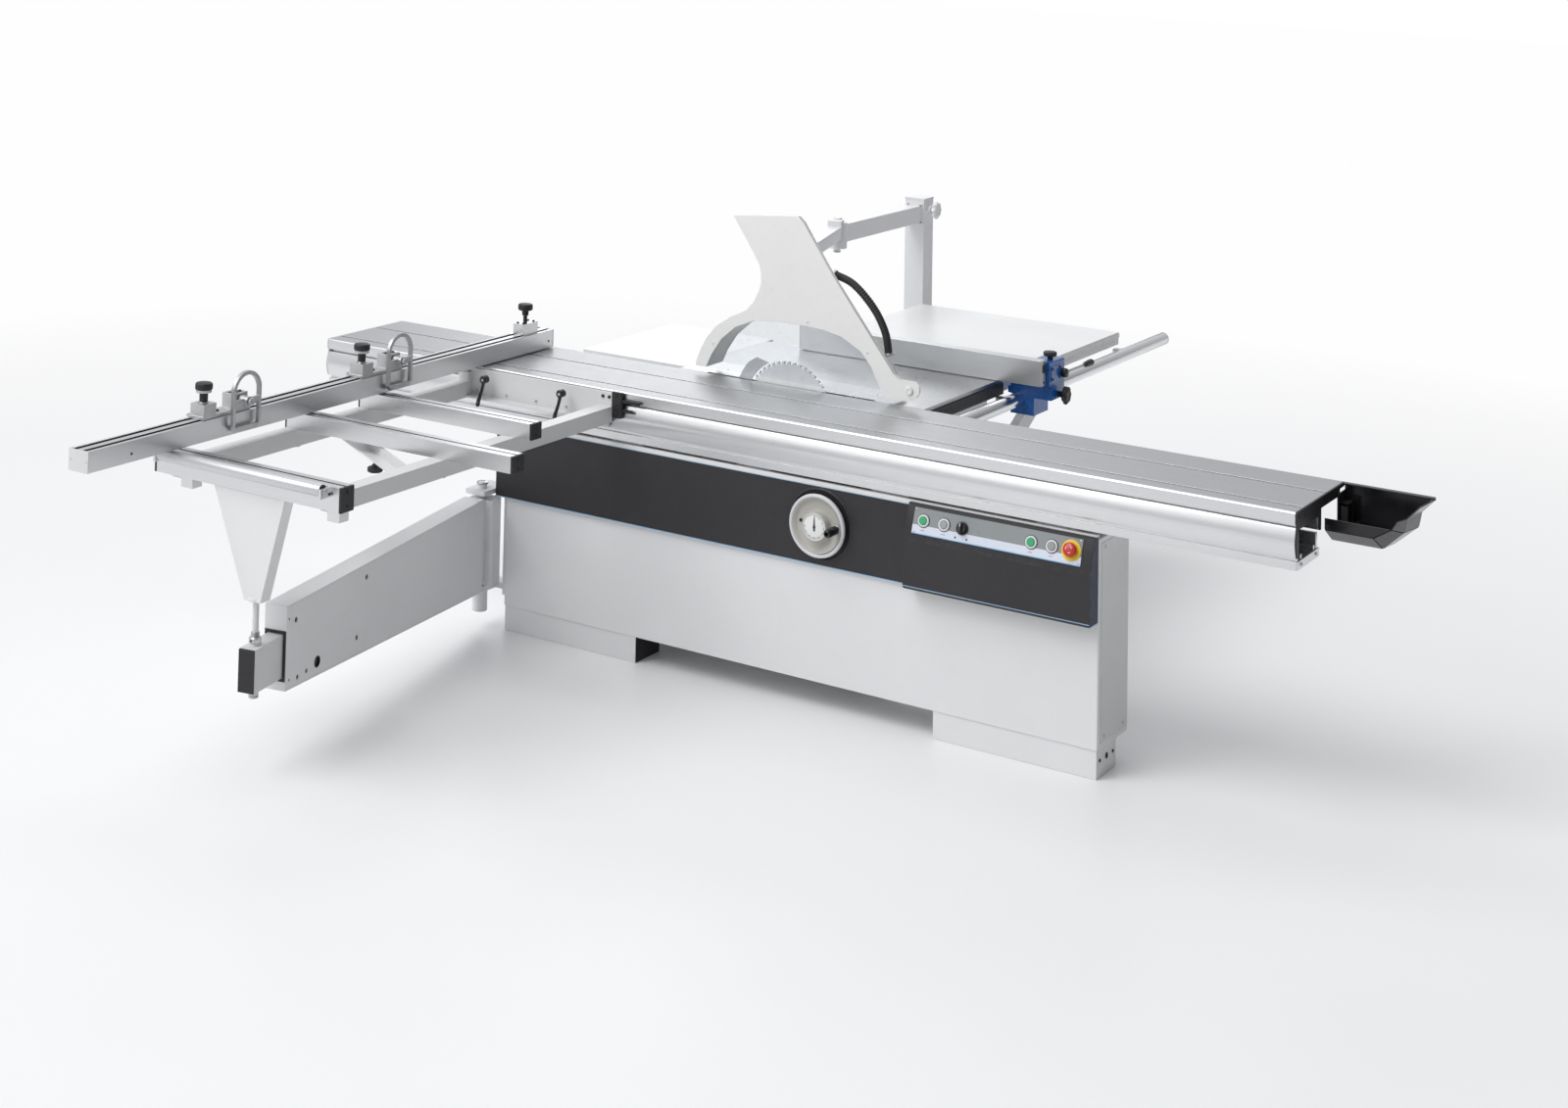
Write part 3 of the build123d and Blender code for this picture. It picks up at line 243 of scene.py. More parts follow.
def panel_base(g):
    """Two-tone membrane: mid grey strip above, pale lavender below, thin pale-blue line along the lower edge."""
    sp = g.n("ShaderNodeSeparateXYZ")
    g.l(g.tc, sp.inputs[0])
    z = sp.outputs[2]
    up = g.ramp(z, 0.6229, 0.6233)
    lowline = g.ramp(z, 0.6004, 0.6007)
    c = g.mix(up, (0.66, 0.70, 0.80, 1), (0.24, 0.26, 0.27, 1))
    return g.mix(lowline, (0.22, 0.47, 0.78, 1), c)


M["panel"] = surface("membrane_panel", (0.6, 0.62, 0.7), 0.30, var=0.02, fine=900, bump=0.05, grime=0.02, base_socket=panel_base)

NODE_MAT = {
    "white": ("cabinet", "overarm_post", "overarm_arm", "guard_link", "swing_post", "swing_bracket", "swing_arm", "rear_base"),
    "white2": ("outrigger_frame", "inner_arm"),
    "plate": ("extension_tables",),
    "dark": ("fascia_band", "control_housing"),
    "panel": ("control_plate",),
    "alu_x": ("beam", "sliding_table", "support_bars", "roller_carriage", "rip_fence"),
    "alu_y": ("crosscut_fence",),
    "alu_cast": ("stop_1", "stop_1_flip", "stop_2", "stop_2_flip"),
    "ground": ("main_table",),
    "steel": ("table_insert", "carriage_wheels", "riving_knife", "arbor", "motor_pulley", "rise_screw", "tilt_spindle"),
    "blade": ("saw_blade", "scoring_blade"),
    "chrome": ("rip_rail",),
    "satin": ("outrigger_roller",),
    "iron": ("tilt_trunnions", "tilt_cradle", "arbor_carrier", "main_motor", "scoring_unit"),
    "black": ("end_caps", "end_tray", "clamp_lever_1", "clamp_lever_2", "fence_knob", "spinner_handle", "rip_lever", "selector"),
    "wheel": ("handwheel",),
    "grey": ("button_grey_1", "button_grey_2"),
    "face": ("gravity_dial",),
    "blue": ("rip_head",),
    "hood": ("guard_plate",),
    "clear": ("guard_window",),
    "rubber": ("dust_hose",),
    "green": ("button_green_1", "button_green_2"),
    "red": ("estop",),
}
MAT_OF = {n: k for k, ns in NODE_MAT.items() for n in ns}
BEVEL = {"cabinet": 1.6, "rear_base": 1.4, "overarm_post": 3.0, "overarm_arm": 3.0, "guard_link": 2.0, "swing_post": 1.4,
         "swing_bracket": 1.2, "swing_arm": 2.2, "inner_arm": 2.0, "outrigger_frame": 1.2, "fascia_band": 1.4,
         "control_housing": 2.4, "control_plate": 0.5, "main_table": 1.0, "extension_tables": 1.4, "table_insert": 0.5,
         "sliding_table": 0.8, "beam": 0.5, "support_bars": 0.5, "crosscut_fence": 0.5, "rip_fence": 0.6, "rip_head": 2.5,
         "guard_plate": 1.6, "end_caps": 0.9, "roller_carriage": 0.8, "stop_1": 1.0, "stop_2": 1.0, "stop_1_flip": 1.6,
         "stop_2_flip": 1.6, "clamp_lever_1": 1.4, "clamp_lever_2": 1.4, "main_motor": 1.0, "arbor_carrier": 1.5,
         "tilt_cradle": 1.5, "tilt_trunnions": 1.0, "scoring_unit": 1.2, "riving_knife": 0.4, "selector": 1.2, "rip_lever": 1.0,
         "carriage_wheels": 0.8, "tilt_spindle": 0.8, "arbor": 0.6}

# faces of one node that carry another material (a finish, or painted shade on slot walls): node -> (material, test on
# face centre in mm and on its normal)
PART_FACES = {
    "sliding_table": [("alu_top", lambda c, n: n.z > 0.9 and c.z > 848.5)],
    "end_caps": [("cap", lambda c, n: c.x < -1690)],
    "control_housing": [("navy", lambda c, n: n.x > 0.9 and c.x > 1130)],
    "rip_rail": [("black", lambda c, n: c.x < 400 and c.y < 1000 and c.z > 798)],
    # the walls of the fence's top slot and of the two slots in the support bars are painted near-black as shade
    "crosscut_fence": [("slot", lambda c, n: abs(n.y) < 0.5 and 903.5 < c.z < 911.8 and -1087 < c.x < -1035)],
    "support_bars": [("slot", lambda c, n: abs(n.x) < 0.5 and c.y > -1000 and 837.8 < c.z < 848.4 and abs(n.z) < 1.5 and (abs(c.y + 525) < 9.5 or abs(c.y + 873) < 9.5)),
                     ("slot", lambda c, n: abs(n.x) < 0.5 and c.y < -1400 and 824.5 < c.z < 839.4 and -1427 < c.y < -1417)],
    "outrigger_frame": [("black", lambda c, n: c.x > -500.4 and c.y > -17)],
}
for n, o in N.items():
    me = o.data
    me.materials.clear()
    me.materials.append(M[MAT_OF[n]])
    extra = PART_FACES.get(n, [])
    for k, _ in extra:
        me.materials.append(M[k])
    nm = o.matrix_world.to_3x3()
    for p in me.polygons:
        p.material_index = 0
        p.use_smooth = True
        if extra:
            c = (o.matrix_world @ p.center - SHIFT) * 1000.0
            for i, (_, test) in enumerate(extra):
                if test(c, nm @ p.normal):
                    p.material_index = i + 1
    me.normals_split_custom_set([(0.0, 0.0, 0.0)] * len(me.loops))
    w = o.modifiers.new("join", "WELD")
    w.merge_threshold = 2e-5
    d = o.modifiers.new("merge_flat", "DECIMATE")
    d.decimate_type = "DISSOLVE"
    d.angle_limit = math.radians(0.3)
    d.delimit = {"MATERIAL"}
    if n in BEVEL:
        b = o.modifiers.new("edge_round", "BEVEL")
        b.width = BEVEL[n] * MM
        b.segments = 2
        b.limit_method = "ANGLE"
        b.angle_limit = math.radians(35)
        b.use_clamp_overlap = True
        b.miter_outer = "MITER_SHARP"
        # the bevel faces of the sliding table get the near-white metal: a painted highlight on its edges
        if n == "sliding_table":
            me.materials.append(M["bright"])
            b.material = 2
    sm = o.modifiers.new("faces", "WEIGHTED_NORMAL")
    sm.keep_sharp = True
    sm.weight = 60


# ============================================================ mesh helpers
def axes(axis, up=None):
    z = Vector(axis).normalized()
    u = Vector(up) if up else (Vector((0, 0, 1)) if abs(z.z) < 0.9 else Vector((1, 0, 0)))
    x = u.cross(z).normalized()
    return x, z.cross(x), z


class Piece:
    """Collects faces in millimetres, then makes one object riding on a body."""

    def __init__(s, name, body, mats, slot=None, bevel=0.0, seg=2, ang=35, replaces=()):
        s.name, s.body, s.slot, s.bevel, s.seg, s.ang, s.rep = name, body, slot, bevel, seg, ang, replaces
        s.mats = [mats] if isinstance(mats, str) else list(mats)
        s.v, s.f, s.mi = [], [], []

    def add(s, verts, faces, m=0):
        k = len(s.v)
        s.v += [tuple(v) for v in verts]
        for f in faces:
            s.f.append(tuple(i + k for i in f))
            s.mi.append(m)
        return s

    def box(s, x0, x1, y0, y1, z0, z1, m=0, M4=None):
        vs = [Vector((x, y, z)) for z in (z0, z1) for y in (y0, y1) for x in (x0, x1)]
        if M4 is not None:
            vs = [M4 @ v for v in vs]
        return s.add(vs, [(0, 2, 3, 1), (4, 5, 7, 6), (0, 1, 5, 4), (2, 6, 7, 3), (0, 4, 6, 2), (1, 3, 7, 5)], m)

    def lathe(s, o, axis, prof, seg=40, m=0, up=None, warp=None, lobes=None):
        """prof: (radius, height) from the axis at the back round to the axis in front; closed at both ends."""
        x, y, z = axes(axis, up)
        o = Vector(o)
        vs, fs = [], []
        rows = []
        for (r, h) in prof:
            if r < 1e-6:
                rows.append([len(vs)])
                vs.append(o + z * h)
            else:
                row = []
                for i in range(seg):
                    a = 2 * math.pi * i / seg
                    rr, hh = r, h
                    if lobes:
                        rr, hh = lobes(r, h, a)
                    if warp:
                        hh = hh + warp(rr * math.cos(a), rr * math.sin(a))
                    row.append(len(vs))
                    vs.append(o + x * (rr * math.cos(a)) + y * (rr * math.sin(a)) + z * hh)
                rows.append(row)
        for a, b in zip(rows, rows[1:]):
            for i in range(seg):
                j = (i + 1) % seg
                if len(a) == 1 and len(b) == 1:
                    continue
                if len(a) == 1:
                    fs.append((a[0], b[i], b[j]))
                elif len(b) == 1:
                    fs.append((a[i], a[j], b[0]))
                else:
                    fs.append((a[i], a[j], b[j], b[i]))
        return s.add(vs, fs, m)

    def ring(s, o, axis, prof, seg=40, m=0, up=None):
        """closed (radius, height) loop turned about the axis."""
        x, y, z = axes(axis, up)
        o = Vector(o)
        k = len(prof)
        vs, fs = [], []
        for i in range(seg):
            a = 2 * math.pi * i / seg
            d = x * math.cos(a) + y * math.sin(a)
            vs += [o + d * r + z * h for (r, h) in prof]
        for i in range(seg):
            j = (i + 1) % seg
            for q in range(k):
                w = (q + 1) % k
                fs.append((i * k + q, j * k + q, j * k + w, i * k + w))
        return s.add(vs, fs, m)

    def prism(s, pts, put, a, b, m=0):
        """pts: 2-D loop, put(u, v, w) -> xyz, extruded from w=a to w=b."""
        k = len(pts)
        vs = [put(u, v, a) for (u, v) in pts] + [put(u, v, b) for (u, v) in pts]
        fs = [tuple(range(k))[::-1], tuple(range(k, 2 * k))]
        for i in range(k):
            j = (i + 1) % k
            fs.append((i, j, k + j, k + i))
        return s.add(vs, fs, m)

    def tube(s, pts, r, seg=16, m=0, rad=None):
        """round bar along a list of points; rad(i) may change the radius."""
        P = [Vector(p) for p in pts]
        vs, fs = [], []
        up = Vector((0, 0, 1))
        px = None
        for i, p in enumerate(P):
            t = (P[min(i + 1, len(P) - 1)] - P[max(i - 1, 0)]).normalized()
            if px is None:
                px = (Vector((0, 1, 0)) if abs(t.z) > 0.9 else up).cross(t).normalized()
            else:
                px = (px - t * px.dot(t)).normalized()
            py = t.cross(px)
            rr = rad(i) if rad else r
            for k in range(seg):
                a = 2 * math.pi * k / seg
                vs.append(p + px * (rr * math.cos(a)) + py * (rr * math.sin(a)))
        for i in range(len(P) - 1):
            for k in range(seg):
                j = (k + 1) % seg
                fs.append((i * seg + k, i * seg + j, (i + 1) * seg + j, (i + 1) * seg + k))
        fs.append(tuple(range(seg))[::-1])
        fs.append(tuple(range((len(P) - 1) * seg, len(P) * seg)))
        return s.add(vs, fs, m)

    def screw(s, o, axis, r, h, m=0, kind="hex", up=None):
        """cap screw head standing h proud of o, with a hexagon socket ('hex') or a cross slot ('cross')."""
        x, y, z = axes(axis, up)
        o = Vector(o) + z * 0.0
        seg = 24
        vs, fs = [], []

        def row(fn, hh):
            k = len(vs)
            for i in range(seg):
                a = 2 * math.pi * i / seg
                q = fn(a)
                vs.append(o + x * (q * math.cos(a)) + y * (q * math.sin(a)) + z * hh)
            return list(range(k, k + seg))

        def hexr(a):
            b = (a % (math.pi / 3)) - math.pi / 6
            return r * 0.50 * math.cos(math.pi / 6) / math.cos(b)

        def crossr(a):
            b = abs(((a + math.pi / 4) % (math.pi / 2)) - math.pi / 4)
            return r * (0.58 if b < 0.22 else 0.20)

        hole = hexr if kind == "hex" else crossr
        dome = 0.86 if kind == "hex" else 0.70
        rows = [row(lambda a: r * 0.96, -0.6), row(lambda a: r, 0.0), row(lambda a: r, h * 0.62), row(lambda a: r * dome, h),
                row(lambda a: hole(a) * 1.08, h), row(hole, h - 0.25), row(hole, h * 0.35)]
        for a, b in zip(rows, rows[1:]):
            for i in range(seg):
                j = (i + 1) % seg
                fs.append((a[i], a[j], b[j], b[i]))
        fs.append(tuple(rows[0])[::-1])
        fs.append(tuple(rows[-1]))
        return s.add(vs, fs, m)

    def star_knob(s, o, axis, r, h, lobes=6, m=0, up=None, stem=None):
        """lobed hand knob: skirt, lobes, shallow domed top and a short neck."""
        def lb(rr, hh, a):
            k = max(0.0, (rr - r * 0.55) / (r * 0.45))
            return rr * (1 + 0.13 * k * math.cos(lobes * a)), hh
        prof = [(0, -h * 0.05), (r * 0.40, -h * 0.05), (r * 0.42, h * 0.14), (r * 0.66, h * 0.20), (r * 0.90, h * 0.30), (r, h * 0.46),
                (r, h * 0.72), (r * 0.92, h * 0.90), (r * 0.74, h), (r * 0.50, h * 1.01), (r * 0.46, h * 0.97), (0, h * 0.98)]
        s.lathe(o, axis, prof, seg=60, m=m, up=up, lobes=lb)
        return s

    def mushroom(s, o, axis, r, h, m=0):
        """round hand knob: neck, undercut, thick rounded rim with fine flutes, nearly flat top."""
        def lb(rr, hh, a):
            k = max(0.0, (rr - r * 0.9) / (r * 0.1))
            return rr * (1 + 0.018 * k * math.cos(18 * a)), hh
        prof = [(0, -h * 0.10), (r * 0.42, -h * 0.10), (r * 0.44, h * 0.10), (r * 0.60, h * 0.22), (r * 0.88, h * 0.27), (r * 0.97, h * 0.34), (r, h * 0.44),
                (r, h * 0.80), (r * 0.97, h * 0.92), (r * 0.88, h * 0.99), (r * 0.60, h * 1.03), (r * 0.28, h * 1.04), (0, h * 1.04)]
        return s.lathe(o, axis, prof, seg=108, m=m, lobes=lb)

    def done(s):
        me = bpy.data.meshes.new(s.name)
        me.from_pydata([(v[0] * MM + DX, v[1] * MM + DY, v[2] * MM) for v in s.v], [], s.f)
        for k in s.mats:
            me.materials.append(M[k])
        for p, i in zip(me.polygons, s.mi):
            p.material_index = i
            p.use_smooth = True
        me.validate()
        me.update()
        import bmesh
        bm = bmesh.new()
        bm.from_mesh(me)
        bmesh.ops.recalc_face_normals(bm, faces=bm.faces)
        bm.to_mesh(me)
        bm.free()
        ob = bpy.data.objects.new(s.name, me)
        bpy.context.scene.collection.objects.link(ob)
        if s.bevel:
            b = ob.modifiers.new("edge_round", "BEVEL")
            b.width = s.bevel * MM
            b.segments = s.seg
            b.limit_method = "ANGLE"
            b.angle_limit = math.radians(s.ang)
            b.use_clamp_overlap = True
        w = ob.modifiers.new("faces", "WEIGHTED_NORMAL")
        w.keep_sharp = True
        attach(ob, s.body)
        if s.rep:
            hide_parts(*s.rep)
        return ob


# ================================================================ handwheel
WX, WZ = 246.0, 555.0
FRONT = (0, -1, 0)


def crease(x, y):
    # flat facet below and to the right of a chord running down-left from the handle
    d = (x - 60.0) * 0.679 - (y + 8.0) * 0.735
    r = math.hypot(x, y)
    if d <= 0 or r > 84 or r < 42:
        return 0.0
    k = min(1.0, (84 - r) / 5.0) * min(1.0, (r - 42) / 4.0)
    return min(d * 0.42, 9.0) * k


p = Piece("handwheel_disc", "wheel", "wheel", "grey", replaces=("handwheel",))
front = [(82, 10.6), (80, 9.5), (78, 7.6), (76, 5.6), (74, 3.6), (72, 2.0), (69, 1.0), (66, 0.5), (63, 0.2), (60, 0.1), (57, 0.0), (54, 0.0), (51, 0.4), (48, 1.0), (46, 1.6)]
p.lathe((WX, 0, WZ), FRONT, [(10, -22), (19, -22), (20, -20.5), (20, -8), (40, -4.5), (60, -5.5), (78, -6.8), (84.5, -7.0), (84.5, 11)] + front
        + [(43.8, 4), (43.0, 10), (42.4, 18.6), (41.4, 20.2), (38.4, 20.4), (10, 20.4), (10, -22)], seg=180, warp=crease)
p.done()
p = Piece("handwheel_rim", "wheel", "rim", "grey")
p.ring((WX, 0, WZ), FRONT, [(83.6, 0.4), (88, -0.8), (91.6, 0.6), (94.0, 3.6), (94.9, 7.4), (94.5, 11.2), (92.8, 14.2), (90.0, 15.6), (86.8, 15.2), (84.4, 13.0), (83.2, 9.6), (82.8, 4.0)], seg=120)
p.done()
SX, SZ = WX + 69.0, WZ + 2.0
p = Piece("handwheel_fasteners", "wheel", ("oxide", "zinc"), "steel")
p.screw((WX - 60, -0.4, WZ + 6), FRONT, 5.0, 3.2, m=0)
p.lathe((SX, 0, SZ), FRONT, [(0, -3), (12.8, -3), (12.8, 9), (11.8, 13.2), (10.8, 14.2), (8.5, 14.6), (0, 14.6)], seg=40, m=1)
p.done()
p = Piece("spinner_grip", "spinner", "gloss", "black_plastic", replaces=("spinner_handle",))
prof = [(5.2, 15.2), (8.6, 15.2), (10.2, 17)]
h = 18.0
for i in range(7):
    prof += [(11.7 + i * 0.18, h), (12.2 + i * 0.18, h + 1.0), (12.2 + i * 0.18, h + 2.0), (11.5 + i * 0.18, h + 3.0)]
    h += 4.0
prof += [(12.9, h + 2), (13.3, 54), (13.0, 64), (12.0, 72), (9.6, 76.4), (6.6, 77.6), (5.2, 77.4), (5.2, 15.2)]
p.lathe((SX, 0, SZ), FRONT, prof, seg=36)
p.done()
# dial: narrow grey ring, white face, ticks and needle
p = Piece("dial_assembly", "wheel", ("rim", "face", "ink", "red", "clear"), "dial", replaces=("gravity_dial",))
p.ring((WX, 0, WZ), FRONT, [(37.4, 20), (40.6, 20), (40.6, 27.4), (39.8, 28.8), (38.6, 29.0), (37.4, 27.8)], seg=96, m=0)
p.lathe((WX, 0, WZ), FRONT, [(0, 20.6), (37.8, 20.6), (37.8, 26.4), (0, 26.4)], seg=96, m=1)
for i in range(46):
    a = math.radians(90 - (i - 0) * 6.0)
    L = 5.6 if i % 5 == 0 else 3.0
    Mx = Matrix.Translation(Vector((WX, -26.4, WZ))) @ Matrix.Rotation(-a, 4, "Y")
    p.box(35.2 - L, 35.2, -0.35, 0.1, -0.36 if i % 5 else -0.7, 0.36 if i % 5 else 0.7, 2, Mx)
nd = [(-2.6, -12), (2.6, -12), (3.0, 0), (0.9, 30), (-0.9, 30), (-3.0, 0)]
p.prism(nd, lambda u, v, w: (WX + u, -w, WZ + v), 27.0, 27.8, m=2)
p.lathe((WX, 0, WZ), FRONT, [(0, 26.2), (4.4, 26.2), (4.4, 28.2), (3.4, 29.0), (0, 29.0)], seg=24, m=2)
p.done()
# recess ring lip round the wheel
p = Piece("wheel_recess_lip", "base", ("trim", "dark"), "dark_paint")
p.ring((WX, 0, WZ), FRONT, [(102.4, -13), (107.6, -12.4), (107.6, -10.6), (106.0, -8.7), (103.6, -8.7), (102.4, -10)], seg=120, m=1)
p.done()

# =========================================================== control panel
UX, UZ = .3417, .9398
PN = Vector((0, -UZ, UX))


BS = 61.5


def face(x, s_, n_=0.0):
    return Vector((x, -36 + UX * s_ - UZ * n_, 577 + UZ * s_ + UX * n_))


PM = lambda x, s_, n_=0.0: Matrix.Translation(face(x, s_, n_)) @ Matrix(((1, 0, 0, 0), (0, UX, -UZ, 0), (0, UZ, UX, 0), (0, 0, 0, 1)))
p = Piece("button_collars", "base", ("collar", "black"), "panel", bevel=0.0)
for x in (606, 672, 946, 1009):
    p.ring(face(x, BS), PN, [(12.35, 2.6), (17.6, 2.6), (17.9, 4.4), (17.2, 7.2), (15.4, 8.6), (13.4, 8.8), (12.35, 7.8)], seg=56, m=0)
    # thin flat black ring on the plate round each collar: painted shadow of the collar
    p.ring(face(x, BS), PN, [(17.6, 2.9), (20.0, 2.9), (19.6, 3.7), (17.6, 3.9)], seg=56, m=1)
p.ring(face(730, BS), PN, [(12.35, 2.6), (19.0, 2.6), (19.0, 5.6), (17.6, 7.1), (12.35, 7.2)], seg=56, m=1)
p.done()
p = Piece("estop_disc", "base", "yellow", "panel")
p.ring(face(1068, BS), PN, [(12.4, 2.8), (29.4, 2.8), (29.6, 4.6), (28.4, 5.7), (14, 5.8), (12.4, 5.6)], seg=64)
p.done()
p = Piece("estop_head_detail", "estop_body", "red", "red", replaces=("estop",))
p.lathe(face(1068, BS), PN, [(0, -13), (11.9, -13), (11.9, 11.6), (15.6, 12.6), (19.4, 13.4), (20.2, 15.2), (20.0, 19.2), (18.4, 22.2), (15.0, 24.0), (9.0, 24.9), (0, 25.1)], seg=56)
p.done()
p = Piece("estop_arrows", "estop_body", "collar", "red")
for k in range(3):
    a0 = k * 120 + 20
    pts = []
    for i in range(9):
        a = math.radians(a0 + i * 7)
        pts.append((10.2 * math.cos(a), 10.2 * math.sin(a)))
    for i in range(8, -1, -1):
        a = math.radians(a0 + i * 7)
        pts.append((8.6 * math.cos(a), 8.6 * math.sin(a)))
    p.prism(pts, lambda u, v, w: face(1068 + u, BS + v, w), 24.2, 25.15)
p.done()
p = Piece("selector_pointer", "selector_body", "collar", "black_plastic", bevel=0.2)
p.box(-1.1, 1.1, 2, 13.0, 24.6, 25.5, 0, PM(730, BS))
p.done()
p = Piece("selector_grip_ribs", "selector_body", "gloss", "black_plastic", bevel=0.25)
for i in range(20):
    a = 2 * math.pi * i / 20
    p.box(-0.9, 0.9, 13.4, 14.5, 8.6, 15.6, 0, PM(730, BS) @ Matrix.Rotation(a, 4, "Z"))
p.done()
# generic marks: level bars under the buttons, two arrow marks, plate screws, pale-blue border
p = Piece("panel_marks", "base", ("ink", "gloss", "zinc", "trim", "red"), "panel")
for x in (606, 672, 946, 1009):
    p.box(-6.5, 6.5, -0.7, 0.7, 3.0, 3.16, 4, PM(x, 34))
for x in (712, 748):
    p.prism([(-4, -3.2), (4, -3.2), (0, 4)], lambda u, v, w, x=x: face(x + u, 34 + v, w), 3.0, 3.16)
for (x, s_) in ((579, 92), (1093, 92), (579, 27), (1093, 27)):
    p.screw(face(x, s_, 3.0), PN, 2.8, 1.5, m=2, kind="cross")
p.box(-263, 263, -1.0, 1.0, 2.6, 3.5, 3, PM(836, 24.0))
p.done()
p = Piece("housing_edge_trim", "base", ("trim", "dark"), "dark_paint", bevel=0.5)
p.box(550, 1130, -1.2, 9, 676.0, 677.6, 1)
p.box(549.0, 1131.4, -36.9, -35.6, 442.6, 444.6, 0)
p.box(1131.2, 1132.5, -36.0, 23.0, 434.6, 437.4, 0)
p.done()
# folded white lip of the cabinet between the dark panels and the beam
p = Piece("cabinet_top_lip", "base", "white", "white_paint", bevel=0.8)
p.box(-975.5, 548.0, 11.5, 29.0, 668.4, 681.5)
p.box(548.4, 1131.5, 9.6, 29.0, 668.4, 681.5)
p.done()
p = Piece("plinth_end_plate", "base", ("black", "oxide"), "black_plastic", bevel=0.5)
p.box(-420.2, -418.2, 28.5, 167.5, 1.0, 80.0, 0)
for y in (44, 152):
    p.screw((-418.2, y, 42), (1, 0, 0), 4.6, 2.2, m=1)
p.done()
p = Piece("fascia_trim", "base", "trim", "dark_paint", bevel=0.4)
p.box(-974, 547.5, 10.9, 22.5, 431.8, 434.4)
p.box(-974, 547.5, 11.2, 23.5, 666.6, 668.0)
p.done()

# ======================================================= cabinet, rear base
p = Piece("cabinet_seams", "base", ("white2", "zinc", "oxide"), "white_paint", bevel=0.5)
# end cover strip with its screws, and two cap screws low on the end panel
p.box(1135.0, 1136.4, 40, 232, 96, 655, 0)
for (y, z) in ((66, 640), (206, 640), (66, 112), (206, 112)):
    p.screw((1136.4, y, z), (1, 0, 0), 5.0, 2.6, m=1, kind="cross")
for (y, z) in ((50, 48), (146, 48)):
    p.screw((1131.0, y, z), (1, 0, 0), 5.2, 2.4, m=2)
p.done()
p = Piece("plinth_hardware", "base", ("oxide", "black"), "black_plastic")
p.ring((1131, 100, 48), (1, 0, 0), [(5.4, -2), (9.0, -2), (9.0, 0.8), (8.2, 1.6), (5.4, 1.6)], seg=32, m=1)
p.done()
p = Piece("rear_base_doors", "base", ("white", "oxide", "zinc", "black"), "white_paint", bevel=0.8)
# door over the saw unit on the left side and the right side, with louvres, latch and hinges
for sx, X in ((-1, -510.0), (1, 365.0)):
    d = (sx, 0, 0)
    a, b = (X - 3.0, X) if sx < 0 else (X, X + 3.0)
    p.box(a, b, 300, 880, 120, 640, 0)
    for i in range(9):
        z = 180 + i * 24
        q0, q1 = (X - 3.0, X - 9.0) if sx < 0 else (X + 3.0, X + 9.0)
        p.prism([(q0, z), (q0, z + 14), (q1, z + 2.5), (q1, z)], lambda u, v, w: (u, w, v), 440, 740, 0)
    for z in (190, 570):
        p.box(X - 8 if sx < 0 else X, X if sx < 0 else X + 8, 286, 312, z - 28, z + 28, 2)
    p.lathe((X + sx * 3, 850, 400), d, [(0, 0), (15, 0), (15, 3), (13, 5), (0, 5)], seg=32, m=3)
    p.box(*((X - 16, X - 6) if sx < 0 else (X + 6, X + 16)), 846, 854, 386, 414, 3)
p.done()
p = Piece("rear_panel_parts", "base", ("white2", "zinc", "black", "oxide"), "white_paint", bevel=0.6)
p.ring((-100, 0, 200), (0, 1, 0), [(60.0, 931), (76, 931), (76, 935), (74, 937), (60.0, 937)], seg=64, m=0)
p.ring((-100, 0, 200), (0, 1, 0), [(59.6, 984), (62.2, 984), (62.6, 986), (62.2, 988), (59.6, 988)], seg=64, m=0)
for i in range(6):
    a = 2 * math.pi * i / 6
    p.screw((-100 + 69 * math.cos(a), 937, 200 + 69 * math.sin(a)), (0, 1, 0), 4.2, 2.4, m=1)
# flanged frame round the rear window
for (x0, x1, z0, z1) in ((-262, 162, 696, 708), (-262, 162, 412, 424), (-262, -250, 412, 708), (150, 162, 412, 708)):
    p.box(x0, x1, 930, 933, z0, z1, 0)
for x in (-256, 156):
    for z in (430, 560, 690):
        p.screw((x, 933, z), (0, 1, 0), 4.5, 2.4, m=1, kind="cross")
p.done()

# ================================================================ swing arm
p = Piece("swing_post_fasteners", "base", ("zinc", "oxide", "white2"), "steel")
for z in (170, 300, 415):
    for y in (44, 116):
        p.screw((-950.0, y, z), (-1, 0, 0), 6.5, 5.5, m=1)
p.lathe((-1015, -5, 470), (0, 0, 1), [(0, -1), (20, -1), (20, 3), (18, 5), (9, 6), (8, 4.4), (0, 4.4)], seg=36, m=0)
p.lathe((-1015, -5, 60), (0, 0, -1), [(0, -1), (25.0, -1), (25.0, 2), (22, 4.5), (12, 5), (10, 2.6), (0, 2.6)], seg=36, m=2)
p.done()
AA = math.degrees(math.atan2(-1427.0, 273.0))
LA = Matrix.Translation(Vector((-1015, -5, 0))) @ Matrix.Rotation(math.radians(AA), 4, "Z")


def arm_pt(t, w, z):
    return LA @ Vector((t, w, z))


AN = (LA.to_3x3() @ Vector((0, -1, 0)))
AT = (LA.to_3x3() @ Vector((1, 0, 0)))
p = Piece("swing_arm_fittings", "swing", ("black", "oxide", "zinc", "white"), "black_plastic")
# adjusting screws of the guide rollers sunk in the holes of one face, plugged sight hole, cover screws on the other face
nn = -AN
for (t, z, r) in ((1288, 385, 8), (869, 395, 8), (922, 232, 8), (1221, 223, 7), (1272, 221, 7)):
    p.screw(arm_pt(t, 31.5, z), nn, r - 0.6, 2.0, m=1)
p.ring(arm_pt(1160, 36, 231), nn, [(13.6, -4), (16.5, -4), (16.5, 0.8), (15.6, 1.4), (13.6, 1.2)], seg=40, m=0)
p.lathe(arm_pt(1160, 31, 231), nn, [(0, -1), (13.8, -1), (13.8, 1.4), (0, 1.4)], seg=40, m=0)
for (t, z) in ((1327, 397), (1320, 226)):
    p.screw(arm_pt(t, 34.2, z), nn, 3.2, 1.4, m=1)
for (t, z) in ((1288, 385), (869, 395), (922, 232), (1272, 221)):
    p.screw(arm_pt(t, -36, z), AN, 7.0, 4.4, m=2)
p.done()
p = Piece("swing_arm_seams", "swing", "white", "white_paint", bevel=0.7)
